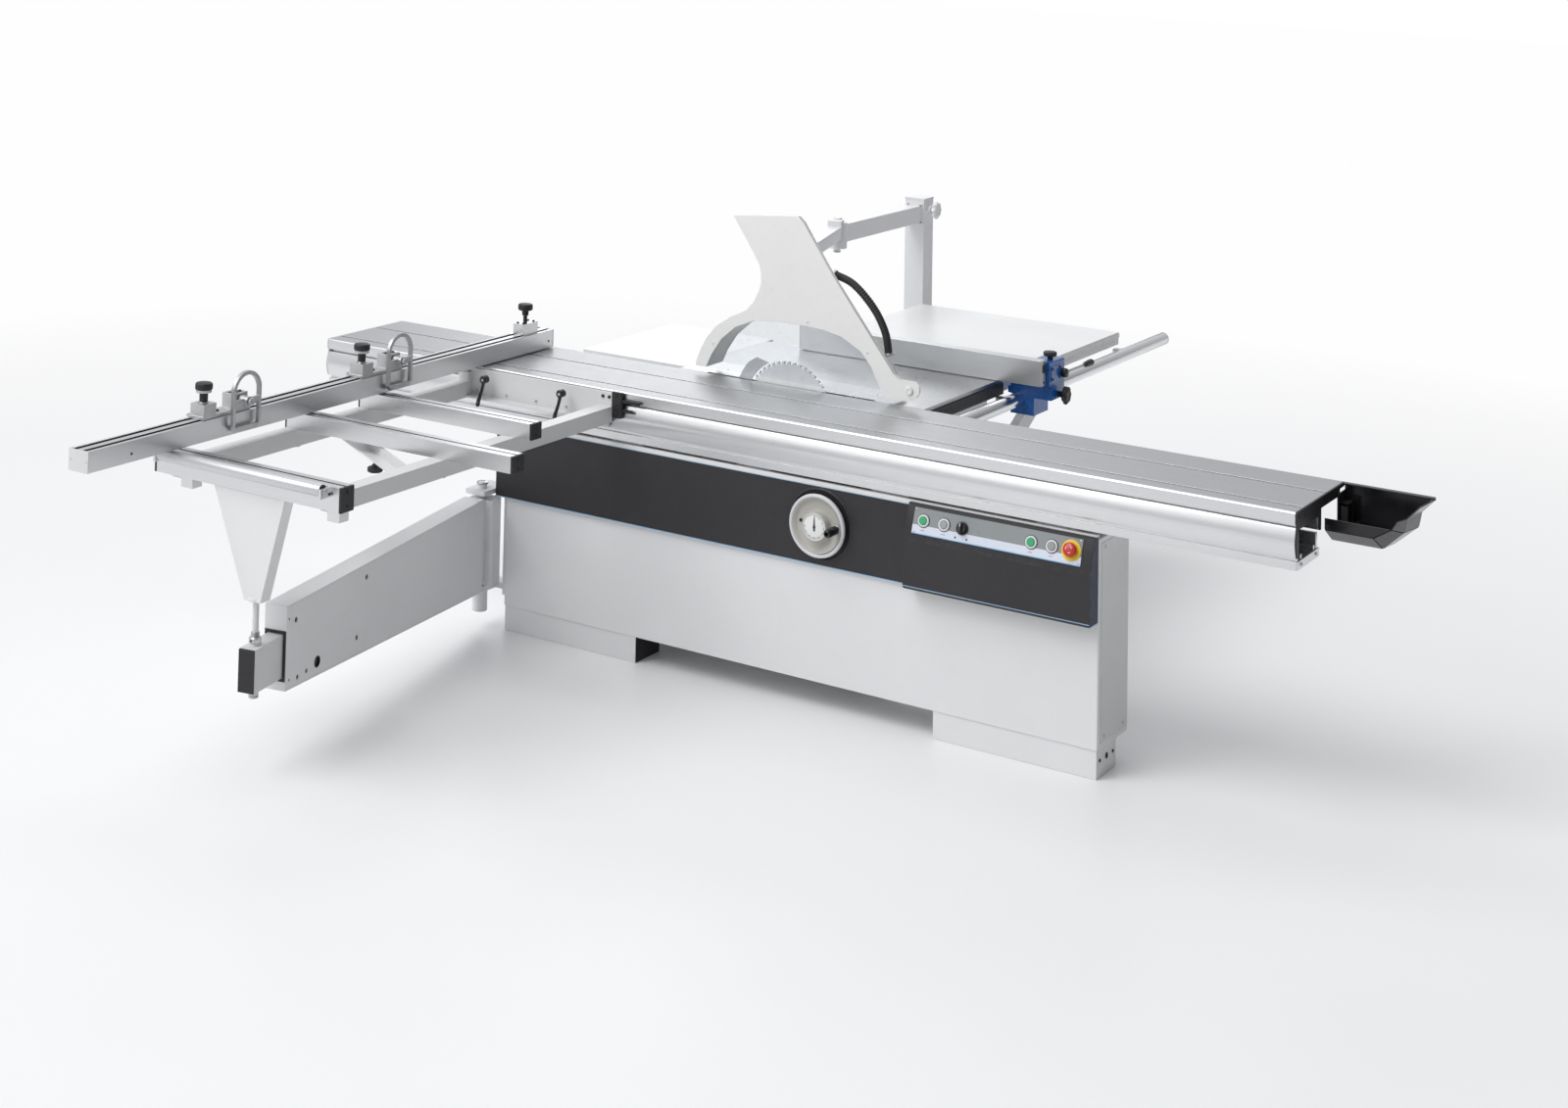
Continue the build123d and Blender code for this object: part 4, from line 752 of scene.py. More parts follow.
for sgn in (1, -1):
    p.prism([(64, 427), (1338, 427), (1338, 432), (64, 432)], lambda u, v, w: arm_pt(u, w, v), -36.7 * sgn, -35.5 * sgn)
    p.prism([(64, 136), (64, 141), (1338, 206), (1338, 201)], lambda u, v, w: arm_pt(u, w, v), -36.7 * sgn, -35.5 * sgn)
p.done()
# frame round the end opening at the mouth of the swing arm
p = Piece("arm_mouth_frame", "swing", ("black", "steel"), "black_plastic", bevel=0.6)
for (w0, w1, z0, z1) in ((-27, 27, 359, 366), (-27, 27, 226, 233), (-34, -27, 226, 366), (27, 34, 226, 366)):
    p.prism([(1339.5, z0), (1343.5, z0), (1343.5, z1), (1339.5, z1)], lambda u, v, w: arm_pt(u, w, v), w0, w1, m=0)
p.done()
p = Piece("inner_arm_end", "telescope", ("black", "zinc", "white2"), "black_plastic", bevel=0.8)
tl = math.hypot(273.0, 1427.0)
p.prism([(tl + 40, 236.5), (tl + 46, 238), (tl + 46, 354), (tl + 40, 355.5)], lambda u, v, w: arm_pt(u, w, v), -24.6, 24.6, m=0)
p.done()
p = Piece("pin_collars", "telescope", ("zinc", "oxide"), "steel")
c = arm_pt(tl, 0, 0)
p.lathe((c.x, c.y, 0), (0, 0, 1), [(9.2, 362), (17, 364), (17.6, 366), (17.6, 376), (16.6, 378), (12.5, 379), (12, 392), (9.2, 393)], seg=36, m=0)
p.screw((c.x, c.y - 17.0, 371), (0, -1, 0), 3.4, 1.8, m=1)
p.lathe((c.x, c.y, 0), (0, 0, -1), [(0, -222), (14.2, -222), (14.2, -214), (12.6, -212.4), (9, -211), (0, -210.4)], seg=36, m=0)
p.done()
p = Piece("bracket_boss", "table", ("white", "zinc"), "white_paint", bevel=0.6)
p.lathe((-742, -1429, 478), (0, 0, 1), [(0, 0.4), (27, 0.4), (27, 8), (25, 10), (0, 10)], seg=40, m=0)
for x in (-870, -660):
    p.screw((x, -1429, 766), (0, 0, -1), 6, 4, m=1)
p.done()

# ============================================================ sliding table
p = Piece("table_end_screws", "table", ("oxide",), "steel")
for (y, z) in ((20, 833), (66, 828), (266, 828), (390, 842.5)):
    for sx in (-1, 1):
        p.screw((sx * 1706.0, y, z), (sx, 0, 0), 4.0 if z < 840 else 2.8, 2.4)
p.done()
# two nuts in the table's front slot
p = Piece("slot_nuts", "table", ("zinc", "black"), "steel", bevel=0.3)
for x in (-1080, -530):
    p.box(x - 20, x + 20, 9.0, 13.4, 803, 817, 0)
p.done()
# H-section ends of the fixed beam
p = Piece("beam_end_rails", "base", ("alu_x", "zinc", "black"), "anodised", bevel=0.4)
for sx in (-1, 1):
    X0, X1 = (1700.2, 1703.0) if sx > 0 else (-1703.0, -1700.2)
    p.box(X0, X1, 12, 198, 690.5, 713.5, 0)
    for y in (44, 168):
        p.screw((X1 if sx > 0 else X0, y, 702), (sx, 0, 0), 5.0, 3.0, m=1)
p.done()
# beam mounting bolts on the pads
p = Piece("pad_bolts", "base", ("zinc",), "steel")
for x in (-900, -470, 0, 470, 1000):
    for d in (-38, 38):
        p.screw((x + d, 29.5, 685.6), (0, -1, 0), 3.4, 3.0)
p.done()

# ===================================================== infeed tray at the end
tr = Piece("infeed_tray", "table", ("gloss", "black"), "black_plastic", bevel=1.0, replaces=("end_tray",))


def shell(p, quad, th, m=0):
    a, b, c_, d = [Vector(q) for q in quad]
    n = (b - a).cross(c_ - a).normalized() * th
    vs = [a, b, c_, d, a + n, b + n, c_ + n, d + n]
    return p.add(vs, [(0, 1, 2, 3), (7, 6, 5, 4), (0, 4, 5, 1), (1, 5, 6, 2), (2, 6, 7, 3), (3, 7, 4, 0)], m)


# rear wall, sloping floor panels, end lip and front lip
BACK = [(1706, 848), (1957, 848), (1922, 818), (1917, 803), (1909, 762), (1845, 704), (1706, 704)]
tr.prism(BACK, lambda u, v, w: (u, w, v), 413, 417, m=0)
tr.prism([(1706, 843), (1957, 843), (1957, 849), (1706, 849)], lambda u, v, w: (u, w, v), 398, 417, m=0)
shell(tr, [(1706, 413, 706), (1845, 413, 706), (1845, 300, 716), (1706, 300, 716)], 4)
shell(tr, [(1845, 413, 706), (1909, 413, 762), (1900, 300, 768), (1845, 300, 716)], 4)
shell(tr, [(1909, 413, 762), (1918, 413, 805), (1908, 300, 806), (1900, 300, 768)], 4)
shell(tr, [(1918, 413, 805), (1957, 413, 846), (1944, 300, 844), (1908, 300, 806)], 4)
shell(tr, [(1706, 300, 716), (1845, 300, 716), (1838, 236, 756), (1706, 236, 756)], 4)
shell(tr, [(1845, 300, 716), (1900, 300, 768), (1886, 236, 786), (1838, 236, 756)], 4)
shell(tr, [(1900, 300, 768), (1908, 300, 806), (1900, 236, 808), (1886, 236, 786)], 4)
shell(tr, [(1706, 236, 756), (1838, 236, 756), (1886, 236, 786), (1706, 236, 786)], 4)
# handle frame next to the table end
for (y0, y1, z0, z1) in ((352, 412, 796, 804), (352, 412, 738, 746), (352, 360, 738, 804), (404, 412, 738, 804)):
    tr.box(1712, 1734, y0, y1, z0, z1, 1)
tr.box(1707, 1711, 340, 413, 720, 830, 1)
tr.done()

# ================================================================ outrigger
p = Piece("frame_corner_joints", "table", ("white2", "oxide", "zinc"), "white_paint", bevel=0.9)
# gusset plates and cap screws where the side tubes meet the table-side plate, a row of screws along the plate
for (x0, x1) in ((-550, -500), (-1110, -1060)):
    p.box(x0 - 0.8, x1 + 0.8, -26, -14, 749, 751, 0)
    for x in (x0 + 13, x1 - 13):
        p.screw((x, -14.0, 828), (0, -1, 0), 5.2, 4.6, m=1)
for k in range(5):
    x = -1040 + k * 120
    p.screw((x, -14.2, 772), (0, -1, 0), 4.4, 3.2, m=2)
p.done()
p = Piece("connector_block", "table", ("black", "steel", "oxide"), "black_plastic", bevel=1.4)
p.box(-501.9, -465.1, -17.0, -5.4, 766.1, 846.9, 0)
p.box(-466, -399.4, -12.7, -5.6, 815.4, 824.6, 0)
p.box(-466, -427.4, -12.7, -5.6, 786.4, 795.6, 0)
for z in (776, 806, 836):
    p.screw((-483.5, -17.0, z), (0, -1, 0), 4.6, 2.6, m=2)
p.done()
p = Piece("clamp_lever_parts", "lever_1", ("gloss", "zinc"), "black_plastic")


def lever(p, x):
    p.lathe((x, -46, 822), FRONT, [(0, 0), (12.2, 0), (12.2, 4), (10.5, 6), (10.0, 13), (12.4, 14.5), (13.2, 17), (12.4, 21.5), (9.5, 23.0), (0, 23.2)], seg=32, m=0)
    p.screw((x, -69.0, 822), FRONT, 4.4, 1.6, m=1)
    pts = [(x, -62, 820), (x - 1, -63, 806), (x - 3, -66, 790), (x - 6, -71, 772), (x - 9, -75, 756), (x - 11, -77, 742)]
    rr = [7.6, 5.6, 5.2, 5.6, 6.6, 7.2]
    p.tube(pts, 6, seg=18, rad=lambda i: rr[i])
    p.lathe((x - 11, -77, 742), (-0.12, -0.15, -1), [(0, -4), (7.2, -1), (6.8, 3), (4.6, 6), (0, 7)], seg=18)


lever(p, -980.0)
p.rep = ("clamp_lever_1",)
p.done()
p = Piece("clamp_lever_parts_2", "lever_2", ("gloss", "zinc"), "black_plastic", replaces=("clamp_lever_2",))
lever(p, -672.0)
p.done()
# star knob with stem under the diagonal brace
p = Piece("brace_knob", "table", ("black", "zinc"), "black_plastic")
p.lathe((-772, -882, 764), (0, 0, -1), [(0, -1), (9, -1), (9, 6), (5.2, 8), (5.2, 34), (0, 34)], seg=24, m=0)
p.mushroom((-772, -882, 738), (0, 0, -1), 23, 20, m=0)
p.done()
p = Piece("support_bar_fittings", "table", ("black", "zinc", "oxide"), "black_plastic", bevel=0.6)
for (x0, y0, y1) in ((-1106, -551, -499), (-1106, -902, -845)):
    p.box(x0 - 6, x0, y0, y1, 800, 849, 0)
for (y0, y1, x) in ((-551, -499, -437), (-902, -845, -254)):
    for z in (812, 836):
        p.screw((x, (y0 + y1) / 2, z), (1, 0, 0), 4.0, 2.0, m=2)
for y in (-525, -873):
    for x in (-1085, -525):
        p.lathe((x, y, 749.5), (0, 0, -1), [(0, -0.5), (11, -0.5), (11, 2), (8.4, 3.4), (8.2, 9), (0, 9.4)], seg=6, m=1)
for x in (-432, -1128):
    sx = 1 if x > -800 else -1
    for z in (786, 826):
        p.screw((x, -1422, z), (sx, 0, 0), 4.2, 2.2, m=2)
p.done()
p = Piece("roller_ends", "roller", ("black", "zinc"), "black_plastic")
for sx in (-1, 1):
    x = -1085 if sx < 0 else -480
    p.ring((x, -1474, 831), (sx, 0, 0), [(5.0, 0.1), (16.4, 0.1), (16.4, 1.0), (14.6, 1.9), (7.5, 1.9), (6.6, 0.8), (5.0, 0.8)], seg=36, m=0)
p.done()
p = Piece("roller_brackets_hardware", "table", ("zinc", "oxide"), "steel")
for (x, sx) in ((-1095, -1), (-470, 1)):
    p.lathe((x, -1474, 831), (sx, 0, 0), [(0, -0.2), (8.4, -0.2), (8.4, 3.2), (6.6, 4.2), (4.6, 4.4), (4.2, 3.8), (0, 3.8)], seg=6, m=0)
    p.screw((x, -1455.5, 820), (sx, 0, 0), 3.8, 2.6, m=1)
p.done()

# ============================================================ crosscut fence
p = Piece("fence_scale", "table", ("face", "ink", "zinc"), "anodised")
p.box(-1097.6, -1088.4, -1812, 236, 911.9, 912.6, 0)
for i in range(0, 409):
    y = 230 - i * 5
    L = 6.4 if i % 20 == 0 else (4.6 if i % 10 == 0 else (3.4 if i % 2 == 0 else 2.2))
    p.box(-1097.4, -1097.4 + L, y - (0.45 if i % 10 == 0 else 0.3), y + (0.45 if i % 10 == 0 else 0.3), 912.55, 912.75, 1)
p.done()
p = Piece("fence_ends", "table", ("black", "oxide", "white2"), "black_plastic", bevel=0.6)
FP = [(-1098.6, 852.6), (-1023.4, 852.6), (-1023.4, 912.5), (-1098.6, 912.5)]
p.prism(FP, lambda u, v, w: (u, w, v), 397, 400.5, m=2)
p.prism(FP, lambda u, v, w: (u, w, v), -1821, -1818, m=2)
for (x, z) in ((-1090, 884), (-1032, 884)):
    p.screw((x, 400.5, z), (0, 1, 0), 3.6, 1.8, m=1)
    p.screw((x, -1821, z), (0, -1, 0), 3.0, 1.2, m=2)
for y in (-1653, 372):
    p.screw((-1024, y, 876), (1, 0, 0), 4.0, 1.4, m=1)
p.done()
p = Piece("fence_feet_screws", "table", ("oxide", "zinc"), "steel")
for y in (-873, -525, 40, 340):
    for x in (-1071, -1043):
        p.screw((x, y, 858.2), (0, 0, 1), 3.4, 2.0, m=0)
for y in (250, 310):
    p.screw((-1046, y, 950), (0, 0, 1), 4.6, 3.6, m=0)
    p.screw((-1069, y, 950), (0, 0, 1), 4.6, 3.6, m=0)
p.done()
p = Piece("fence_end_knob", "knob", ("black", "zinc"), "black_plastic", replaces=("fence_knob",))
p.lathe((-1057, 276, 930.5), (0, 0, 1), [(0, 0), (7, 0), (7, 42), (11, 44), (11.5, 54), (0, 56)], seg=28, m=0)
p.mushroom((-1057, 276, 984), (0, 0, 1), 25, 29, m=0)
p.done()


def stop_parts(y, tag, body):
    q = Piece("stop_knob_" + tag, body, ("black", "zinc"), "black_plastic")
    q.lathe((-1057, y, 956), (0, 0, 1), [(0, 0), (12.6, 0), (12.6, 24), (13.4, 31), (0, 32)], seg=32, m=0)
    q.mushroom((-1057, y, 985.6), (0, 0, 1), 25.5, 28, m=0)
    q.lathe((-1057, y, 956), (0, 0, 1), [(8.0, -1), (15.5, -1), (15.5, 2.6), (14.6, 3.6), (8.0, 3.8)], seg=32, m=1)
    q.done()
    q = Piece("stop_block_detail_" + tag, body, ("alu_cast", "oxide", "steel", "clear", "red"), "anodised", bevel=0.5)
    # index window with a hairline, end cheeks and pivot bolt
    for (y0, y1) in ((y - 24, y - 17), (y + 17, y + 24)):
        q.box(-1101, -1083.5, y0, y1, 914.5, 921.5, 0)
        q.screw((-1094, (y0 + y1) / 2, 921.5), (0, 0, 1), 2.4, 1.6, m=1)
    q.box(-1100, -1084, y - 17.5, y + 17.5, 915.0, 918.0, 3)
    q.box(-1099, -1088.5, y - 0.5, y + 0.5, 914.4, 915.1, 4)
    q.lathe((-988, y + 130, 946), (1, 0, 0), [(0, -1), (12, -1), (12, 3.6), (10.6, 5), (4.6, 5.2), (4.2, 4), (0, 4)], seg=6, m=2)
    q.screw((-1050, y + 112, 966), (0, 0, 1), 4.0, 3.0, m=1)
    q.screw((-1050, y + 148, 966), (0, 0, 1), 4.0, 3.0, m=1)
    q.screw((-1057, y + 60, 922), (0, 0, 1), 5.0, 4.0, m=1)
    q.done()


stop_parts(-1330.0, "a", "stop_a")
stop_parts(-608.0, "b", "stop_b")

# ================================================================= rip fence
p = Piece("rip_scale", "base", ("face", "ink"), "anodised")
p.box(386.4, 388.6, 1002, 2014, 832, 846.6, 0)
p.done()
p = Piece("rip_scale_marks", "base", ("face", "ink", "zinc"), "anodised")
p.box(385.2, 386.2, 1004, 2012, 822, 844, 0)
for i in range(0, 202):
    y = 1005 + i * 5
    L = 9 if i % 10 == 0 else (6 if i % 2 == 0 else 3.5)
    p.box(386.15, 386.4, y - 0.35, y + 0.35, 843 - L, 843, 1)
p.done()
p = Piece("rip_rail_ends", "base", ("black", "zinc", "oxide"), "bright_bar")
for (y, s_) in ((470, -1), (2305, 1)):
    p.lathe((443, y, 789.5), (0, s_, 0), [(0, -2), (22.4, -2), (22.6, 1.4), (21.0, 3.4), (7.5, 3.6), (6.4, 2.0), (0, 2.0)], seg=48, m=0)
for y in (513, 963, 1453, 1973):
    p.lathe((466.0 - 46, y, 789.5), (-1, 0, 0), [(0, -1), (13.4, -1), (13.4, 5), (11.6, 6.4), (0, 6.6)], seg=6, m=1)
p.done()
p = Piece("rip_head_knobs", "rip", ("black", "zinc"), "black_plastic")
p.star_knob((570, 1070, 812), (1, 0.02, 0), 27, 24, lobes=7, m=0)
p.lathe((560, 1070, 812), (1, 0, 0), [(0, -2), (10, -2), (10, 12), (0, 12)], seg=24, m=0)
p.lathe((534, 1052, 926), (0, 0, 1), [(0, -2), (9, -2), (9, 8), (0, 8)], seg=24, m=0)
p.mushroom((534, 1052, 931), (0, 0, 1), 22, 20, m=0)
p.done()
p = Piece("rip_head_detail", "rip", ("blue", "oxide", "zinc", "clear", "black"), "blue_paint", bevel=1.2)
p.box(556, 562.5, 1000, 1074, 862, 912, 0)
for (y, z) in ((1008, 870), (1008, 904), (1066, 870), (1066, 904)):
    p.screw((562.5, y, z), (1, 0, 0), 4.2, 3.0, m=1)
for y in (1018, 1104):
    p.screw((458, y, 846), (0, 0, 1), 5.2, 3.6, m=1)
p.box(404, 416.5, 1010, 1070, 806, 828, 0)
p.box(403.0, 404.4, 1014, 1066, 809, 825, 3)
p.done()
p = Piece("rip_lever_grip", "lock", ("black", "zinc"), "black_plastic", replaces=("rip_lever",))
p.lathe((548, 1090, 880), (1, 0, 0), [(0, 0), (7.9, 0), (7.9, 13), (14.4, 14), (15.2, 17), (15.2, 28), (13.4, 31), (0, 31.6)], seg=36, m=0)
p.tube([(570, 1098, 880), (570, 1140, 880), (570, 1200, 879.4), (570, 1262, 879)], 5.0, seg=18, m=1)
p.lathe((570, 1256, 879), (0, 1, 0), [(0, 0), (7, 0), (8.5, 3), (9.6, 14), (11.2, 40), (11.0, 58), (8.4, 65), (3.5, 67.4), (0, 67.6)], seg=32, m=0)
p.done()
p = Piece("rip_fence_ends", "fence", ("alu_cast", "oxide", "black"), "anodised", bevel=0.6)
for (x0, x1, sx) in ((545, 547.5, 1), (-357.5, -355, -1)):
    p.box(x0, x1, 950.4, 989.6, 852.4, 935.6, 0)
    p.box(*((x1, x1 + 1.0) if sx > 0 else (x0 - 1.0, x0)), 958, 982, 896, 922, 2)
    for z in (864, 928):
        p.screw((x1 if sx > 0 else x0, 970, z), (sx, 0, 0), 3.4, 1.8, m=1)
p.done()

# =============================================================== saw guard
p = Piece("overarm_fittings", "base", ("white", "oxide", "zinc", "black"), "white_paint", bevel=0.8)
# post top cap, base bolts, arm flange and elbow clamp
p.box(-499, -415, 2026, 2110, 1244.6, 1249.5, 0)
p.box(-491, -423, 2024, 2029, 1150, 1230, 0)
for (x, z) in ((-483, 1160), (-431, 1160), (-483, 1220), (-431, 1220)):
    p.screw((x, 2024, z), (0, -1, 0), 5.0, 3.6, m=1)
for (x, y) in ((-535, 1995), (-375, 1995), (-535, 2135), (-375, 2135)):
    p.lathe((x, y, 12), (0, 0, 1), [(0, -3), (15, -3), (15, 0.0), (15, 2.4), (0, 2.4)], seg=32, m=2)
    p.lathe((x, y, 14.2), (0, 0, 1), [(0, 0), (10.8, 0), (10.8, 7.6), (9.4, 9), (0, 9)], seg=6, m=2)
p.ring((-457, 1400, 1228), (0, 0, 1), [(12.1, -1), (35, -1), (35, 0.8), (33, 1.0), (12.1, 1.0)], seg=48, m=0)
p.lathe((-457, 1400, 1239), (0, 0, 1), [(0, -0.5), (17, -0.5), (17, 4), (15, 6), (0, 6.6)], seg=40, m=0)
p.lathe((-457, 1400, 1125), (0, 0, -1), [(0, -1), (14, -1), (14, 6), (0, 6.4)], seg=6, m=2)
p.done()
p = Piece("post_height_knob", "base", ("black", "zinc", "white"), "black_plastic")
p.lathe((-402, 2068, 1205), (1, 0, 0), [(0, -1), (14, -1), (14, 5), (0, 5)], seg=28, m=1)
p.star_knob((-400, 2068, 1205), (1, 0, 0), 30, 26, lobes=8, m=2)
p.done()
p = Piece("guide_rod_fittings", "base", ("white", "zinc", "black", "oxide"), "steel")
p.lathe((-190, 452, 1370), (0, 0, 1), [(0, -1), (11.2, -1), (11.2, 0.8), (10.2, 2.0), (0, 2.4)], seg=32, m=0)
p.lathe((-190, 452, 1160), (0, 0, -1), [(0, -1), (18, -1), (18, 2), (16, 3), (0, 3.2)], seg=32, m=1)
p.ring((-190, 452, 1222), (0, 0, 1), [(12.2, -0.5), (25, -0.5), (25, 1.6), (23.4, 2.8), (12.2, 2.8)], seg=40, m=0)
p.done()
p = Piece("guard_fasteners", "guard", ("zinc", "hood", "oxide", "black"), "steel")
for (x, z) in ((-30, 1068), (190, 1000), (-385, 950)):
    p.screw((x, 408, z), FRONT, 4.2, 2.0, m=1, kind="cross")
p.lathe((340, 405.5, 902), FRONT, [(0, -3), (13, -3), (13, 2.2), (11.4, 3.6), (6.4, 3.8), (5.6, 2.6), (0, 2.6)], seg=36, m=1)
p.done()
gp = [(-314, 1379), (-69, 1402), (-51, 1387), (55, 1235), (257, 980), (284, 945), (305, 930), (360, 929)]
p = Piece("guard_rim", "guard", ("hood",), "hood_plastic", bevel=0.8)
# folded flange along the plate's upper edge
for (a, b) in zip(gp, gp[1:]):
    d = Vector((b[0] - a[0], b[1] - a[1])).normalized()
    nn = Vector((d.y, -d.x)) * 3.0
    p.prism([a, b, (b[0] + nn.x, b[1] + nn.y), (a[0] + nn.x, a[1] + nn.y)], lambda u, v, w: (u, w, v), 408.5, 424)
p.done()
p = Piece("dust_hose_ribbed", "guard", ("rubber", "zinc"), "hose", replaces=("dust_hose",))
ctl = [Vector((30, 470, 1222)), Vector((105, 470, 1196)), Vector((178, 470, 1130)), Vector((221, 470, 1058)), Vector((236, 470, 985))]


def crom(P, n):
    out = []
    Q = [P[0] * 2 - P[1]] + P + [P[-1] * 2 - P[-2]]
    for i in range(1, len(Q) - 2):
        for k in range(n):
            t = k / n
            a, b, c_, d = Q[i - 1], Q[i], Q[i + 1], Q[i + 2]
            out.append(0.5 * ((2 * b) + (c_ - a) * t + (2 * a - 5 * b + 4 * c_ - d) * t * t + (3 * b - a - 3 * c_ + d) * t ** 3))
    out.append(P[-1])
    return out


hp = crom(ctl, 44)
p.tube(hp, 11, seg=18, rad=lambda i: 12.9 if (i // 2) % 2 else 11.7)
p.ring(hp[3], (hp[6] - hp[0]).normalized(), [(12.0, -5), (14.8, -5), (15.2, 0), (14.8, 5), (12.0, 5)], seg=28, m=1)
p.ring(hp[-4], (hp[-1] - hp[-7]).normalized(), [(12.0, -5), (14.8, -5), (15.2, 0), (14.8, 5), (12.0, 5)], seg=28, m=1)
p.done()

# ==================================================== main table and insides
p = Piece("insert_screws", "base", ("oxide", "zinc"), "steel")
for x in (-380, 180):
    p.screw((x, 505, 846.2), (0, 0, 1), 3.8, 2.4, m=0, kind="cross")
p.done()
p = Piece("table_joint_bolts", "base", ("zinc", "oxide"), "steel")
for x in (-360, -120, 120, 330):
    p.screw((x, 1006, 824), (0, -1, 0), 6, 4, m=0)
p.done()
p = Piece("blade_tips", "arbor_spin_body", ("carbide", "ink"), "steel", bevel=0.15)
for i in range(48):
    a = math.radians(360.0 * i / 48)
    Mx = Matrix.Translation(Vector((-100, 425, 770))) @ Matrix.Rotation(-a, 4, "Y")
    p.box(151.5, 158.0, -2.0, 2.0, -3.2, 0.3, 0, Mx)
p.done()
p = Piece("scoring_tips", "scoring_spin_body", ("carbide",), "steel", bevel=0.12)
for i in range(24):
    a = math.radians(360.0 * i / 24)
    Mx = Matrix.Translation(Vector((132, 425, 791))) @ Matrix.Rotation(-a, 4, "Y")
    p.box(56.0, 60.4, -1.9, 1.9, -2.6, 0.3, 0, Mx)
p.done()
p = Piece("motor_details", "rise", ("iron", "black", "zinc", "oxide"), "grey_iron", bevel=0.8)
p.lathe((160, 800, 640), (0, 1, 0), [(0, -1), (88, -1), (90, 4), (90, 34), (84, 42), (60, 46), (0, 46)], seg=64, m=0)
for i in range(10):
    a = 2 * math.pi * i / 10
    p.prism([(-5, -22), (5, -22), (5, 22), (-5, 22)], lambda u, v, w, a=a: (160 + 46 * math.cos(a) + u * 0.9, w, 640 + 46 * math.sin(a) + v * 0.28), 845.2, 846.8, m=1)
p.box(126, 194, 636, 744, 758, 764, 0)
for (x, y) in ((132, 642), (188, 642), (132, 738), (188, 738)):
    p.screw((x, y, 764), (0, 0, 1), 3.6, 2.6, m=2)
p.lathe((190, 690, 740), (1, 0, 0), [(0, -1), (11, -1), (11, 7), (9, 8), (9, 18), (0, 19)], seg=12, m=1)
p.done()

# =================================================================== stage
sc = bpy.context.scene
cam_d = bpy.data.cameras.new("photo_camera")
cam = bpy.data.objects.new("photo_camera", cam_d)
sc.collection.objects.link(cam)
A, E_, R_ = math.radians(35.15), math.radians(-3.29), math.radians(1.37)
back = Vector((math.sin(A) * math.cos(E_), -math.cos(A) * math.cos(E_), math.sin(E_)))
right = Vector((math.cos(A), math.sin(A), 0))
up = back.cross(right)
r2 = right * math.cos(R_) + up * math.sin(R_)
u2 = -right * math.sin(R_) + up * math.cos(R_)
mw = Matrix((r2, u2, back)).transposed().to_4x4()
CX = 3.89163 + DX
mw.translation = Vector((CX, -6.71044 + DY, 2.6332))
cam.matrix_world = mw
cam_d.sensor_width = 36.0
cam_d.lens = 56.437
cam_d.clip_end = 200.0
for prop, val in (("shift_x", 0.1510), ("shift_y", -0.5505)):
    setattr(cam_d, prop, val)
    dr = cam_d.driver_add(prop).driver
    dr.type = "SCRIPTED"
    vr = dr.variables.new()
    vr.name = "px"
    vr.type = "TRANSFORMS"
    vr.targets[0].id = cam
    vr.targets[0].transform_type = "LOC_X"
    vr.targets[0].transform_space = "WORLD_SPACE"
    dr.expression = f"{val} * (abs(px - {CX:.5f}) < 0.01)"
sc.camera = cam

fm = Mat("pale_studio_floor")
pr = fm.n("ShaderNodeBsdfPrincipled")
fm.put(pr.inputs["Base Color"], fm.mix(fm.ramp(fm.noise(0.35, 3.0), 0.3, 0.7), (0.86, 0.86, 0.865, 1), (0.89, 0.89, 0.895, 1)))
fm.put(pr.inputs["Roughness"], fm.ramp(fm.noise(1.2, 4.0), 0.3, 0.7, 0.34, 0.42))
pr.inputs["Specular IOR Level"].default_value = 0.32
# the sweep fades to the white of the background away from the machine
sx_ = fm.n("ShaderNodeVectorMath", operation="LENGTH")
fm.l(fm.tc, sx_.inputs[0])
em = fm.n("ShaderNodeEmission")
em.inputs["Color"].default_value = (1, 1, 1, 1)
em.inputs["Strength"].default_value = 0.99
lpf = fm.n("ShaderNodeLightPath")
fade = fm.math("MULTIPLY", fm.ramp(sx_.outputs["Value"], 2.6, 6.5), lpf.outputs["Is Camera Ray"])
mf = fm.n("ShaderNodeMixShader")
fm.l(fade, mf.inputs[0])
fm.l(pr.outputs[0], mf.inputs[1])
fm.l(em.outputs[0], mf.inputs[2])
fm.l(mf.outputs[0], fm.out.inputs[0])
fl = bpy.data.meshes.new("floor")
S = 30.0
fl.from_pydata([(-S, -S, 0), (S, -S, 0), (S, S, 0), (-S, S, 0)], [], [(0, 1, 2, 3)])
fl.materials.append(fm.m)
flo = bpy.data.objects.new("floor", fl)
flo.location = (DX, DY, -0.0005)
sc.collection.objects.link(flo)

wd = bpy.data.worlds.new("studio")
wd.use_nodes = True
wt = wd.node_tree
wt.nodes.clear()
wo = wt.nodes.new("ShaderNodeOutputWorld")
bg = wt.nodes.new("ShaderNodeBackground")
gr = wt.nodes.new("ShaderNodeTexGradient")
tcw = wt.nodes.new("ShaderNodeTexCoord")
sx = wt.nodes.new("ShaderNodeSeparateXYZ")
mr = wt.nodes.new("ShaderNodeMapRange")
wt.links.new(tcw.outputs["Generated"], sx.inputs[0])
wt.links.new(sx.outputs[2], mr.inputs["Value"])
mr.inputs["From Min"].default_value = -0.2
mr.inputs["From Max"].default_value = 0.9
mr.inputs["To Min"].default_value = 0.62
mr.inputs["To Max"].default_value = 0.74
bg.inputs[0].default_value = (0.96, 0.975, 1.0, 1)
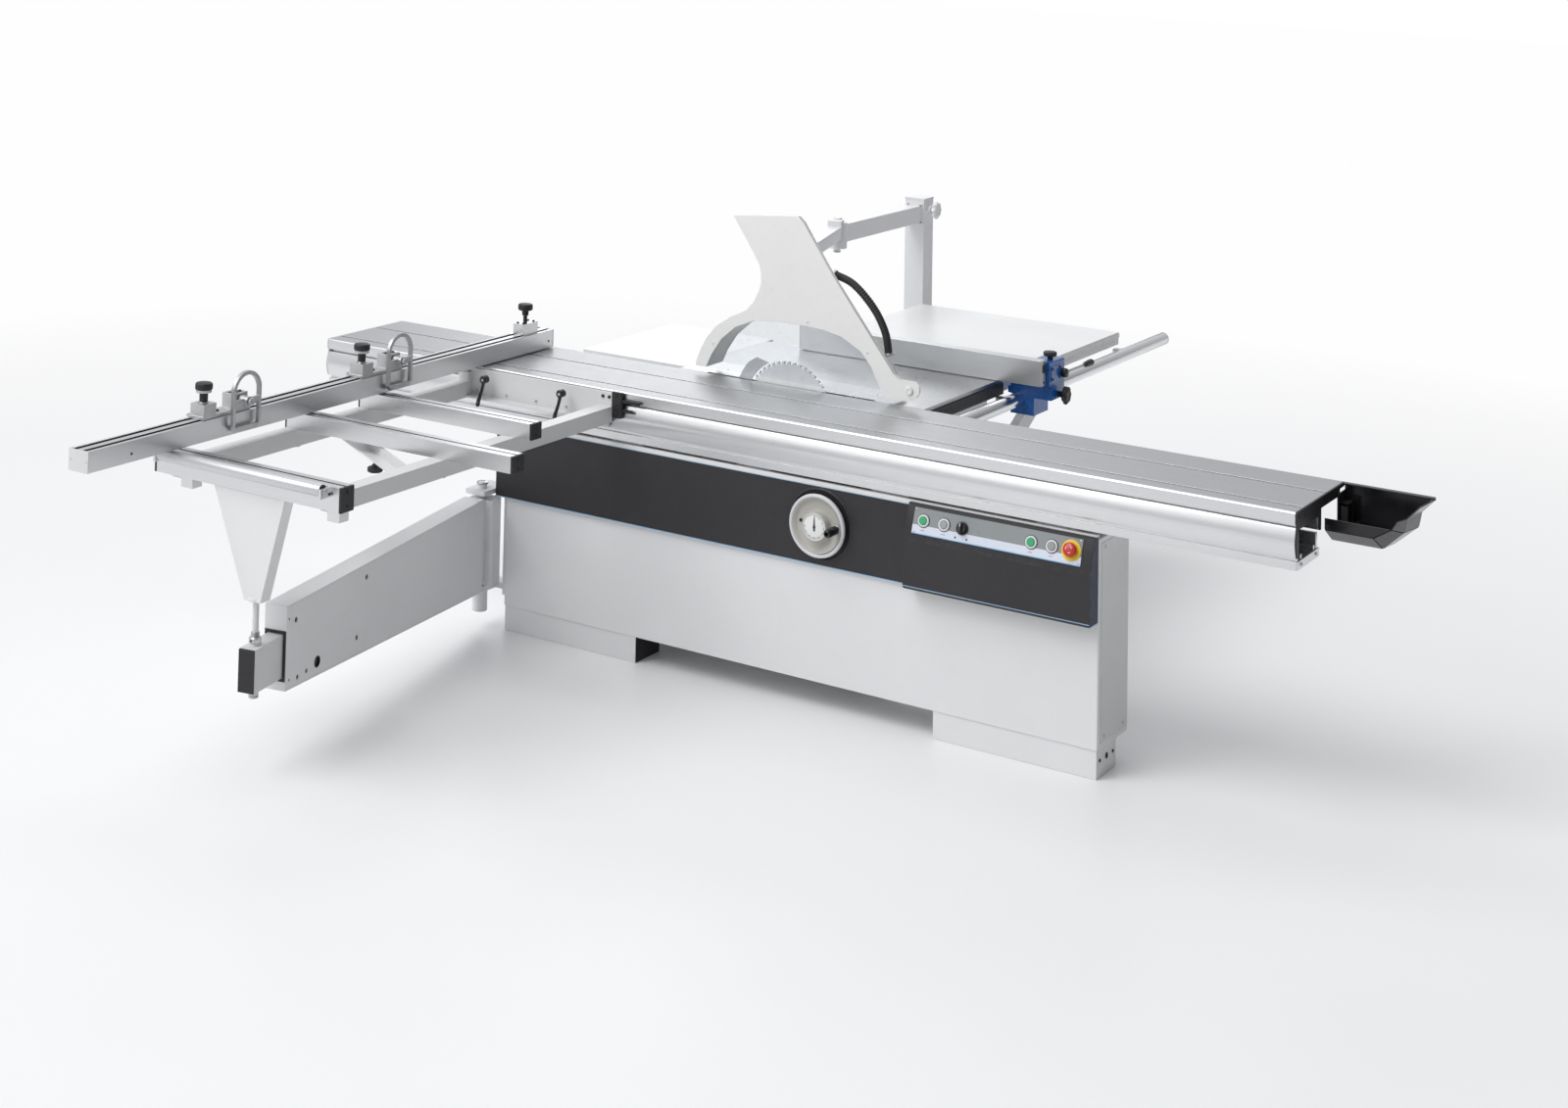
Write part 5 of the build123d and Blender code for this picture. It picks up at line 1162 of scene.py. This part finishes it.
# the side beyond the infeed end is darker, so faces turned that way read mid grey
mx_ = wt.nodes.new("ShaderNodeMapRange")
mx_.inputs["From Min"].default_value = -0.25
mx_.inputs["From Max"].default_value = 0.75
mx_.inputs["To Min"].default_value = 1.06
mx_.inputs["To Max"].default_value = 0.27
mx_.clamp = True
wt.links.new(sx.outputs[0], mx_.inputs["Value"])
ml = wt.nodes.new("ShaderNodeMath")
ml.operation = "MULTIPLY"
wt.links.new(mr.outputs[0], ml.inputs[0])
wt.links.new(mx_.outputs[0], ml.inputs[1])
wt.links.new(ml.outputs[0], bg.inputs[1])
wt.links.new(bg.outputs[0], wo.inputs[0])
wt.nodes.remove(gr)
sc.world = wd
lp = wt.nodes.new("ShaderNodeLightPath")
bg2 = wt.nodes.new("ShaderNodeBackground")
bg2.inputs[0].default_value = (1, 1, 1, 1)
bg2.inputs[1].default_value = 1.0
mxw = wt.nodes.new("ShaderNodeMixShader")
wt.links.new(lp.outputs["Is Camera Ray"], mxw.inputs[0])
wt.links.new(bg.outputs[0], mxw.inputs[1])
wt.links.new(bg2.outputs[0], mxw.inputs[2])
wt.links.new(mxw.outputs[0], wo.inputs[0])
sc.view_settings.view_transform = "Standard"
sc.view_settings.look = "None"


def area(name, loc, aim, size, power, col=(1, 1, 1), sy=None):
    ld = bpy.data.lights.new(name, "AREA")
    ld.shape = "RECTANGLE"
    ld.size = size
    ld.size_y = sy or size
    ld.energy = power
    ld.color = col
    lo = bpy.data.objects.new(name, ld)
    lo.location = Vector(loc) + SHIFT
    lo.rotation_euler = (Vector(aim) - Vector(loc)).to_track_quat("-Z", "Y").to_euler()
    sc.collection.objects.link(lo)
    return lo


area("key_softbox", (-2.2, -4.6, 4.6), (0, 0, 0.5), 3.4, 95, (1.0, 0.99, 0.97))
area("top_strip", (-0.4, 1.6, 4.6), (0, 0.4, 0.8), 5.0, 26, (1, 1, 1), 1.6)
area("rear_rim", (-3.5, 5.5, 3.4), (-0.2, 0.4, 0.8), 2.6, 40, (0.97, 0.98, 1.0))
sl = bpy.data.lights.new("soft_sun", "SUN")
sl.energy = 1.05
sl.angle = math.radians(38)
so = bpy.data.objects.new("soft_sun", sl)
so.rotation_euler = Vector((0.35, 0.55, -1.0)).to_track_quat("-Z", "Y").to_euler()
sc.collection.objects.link(so)
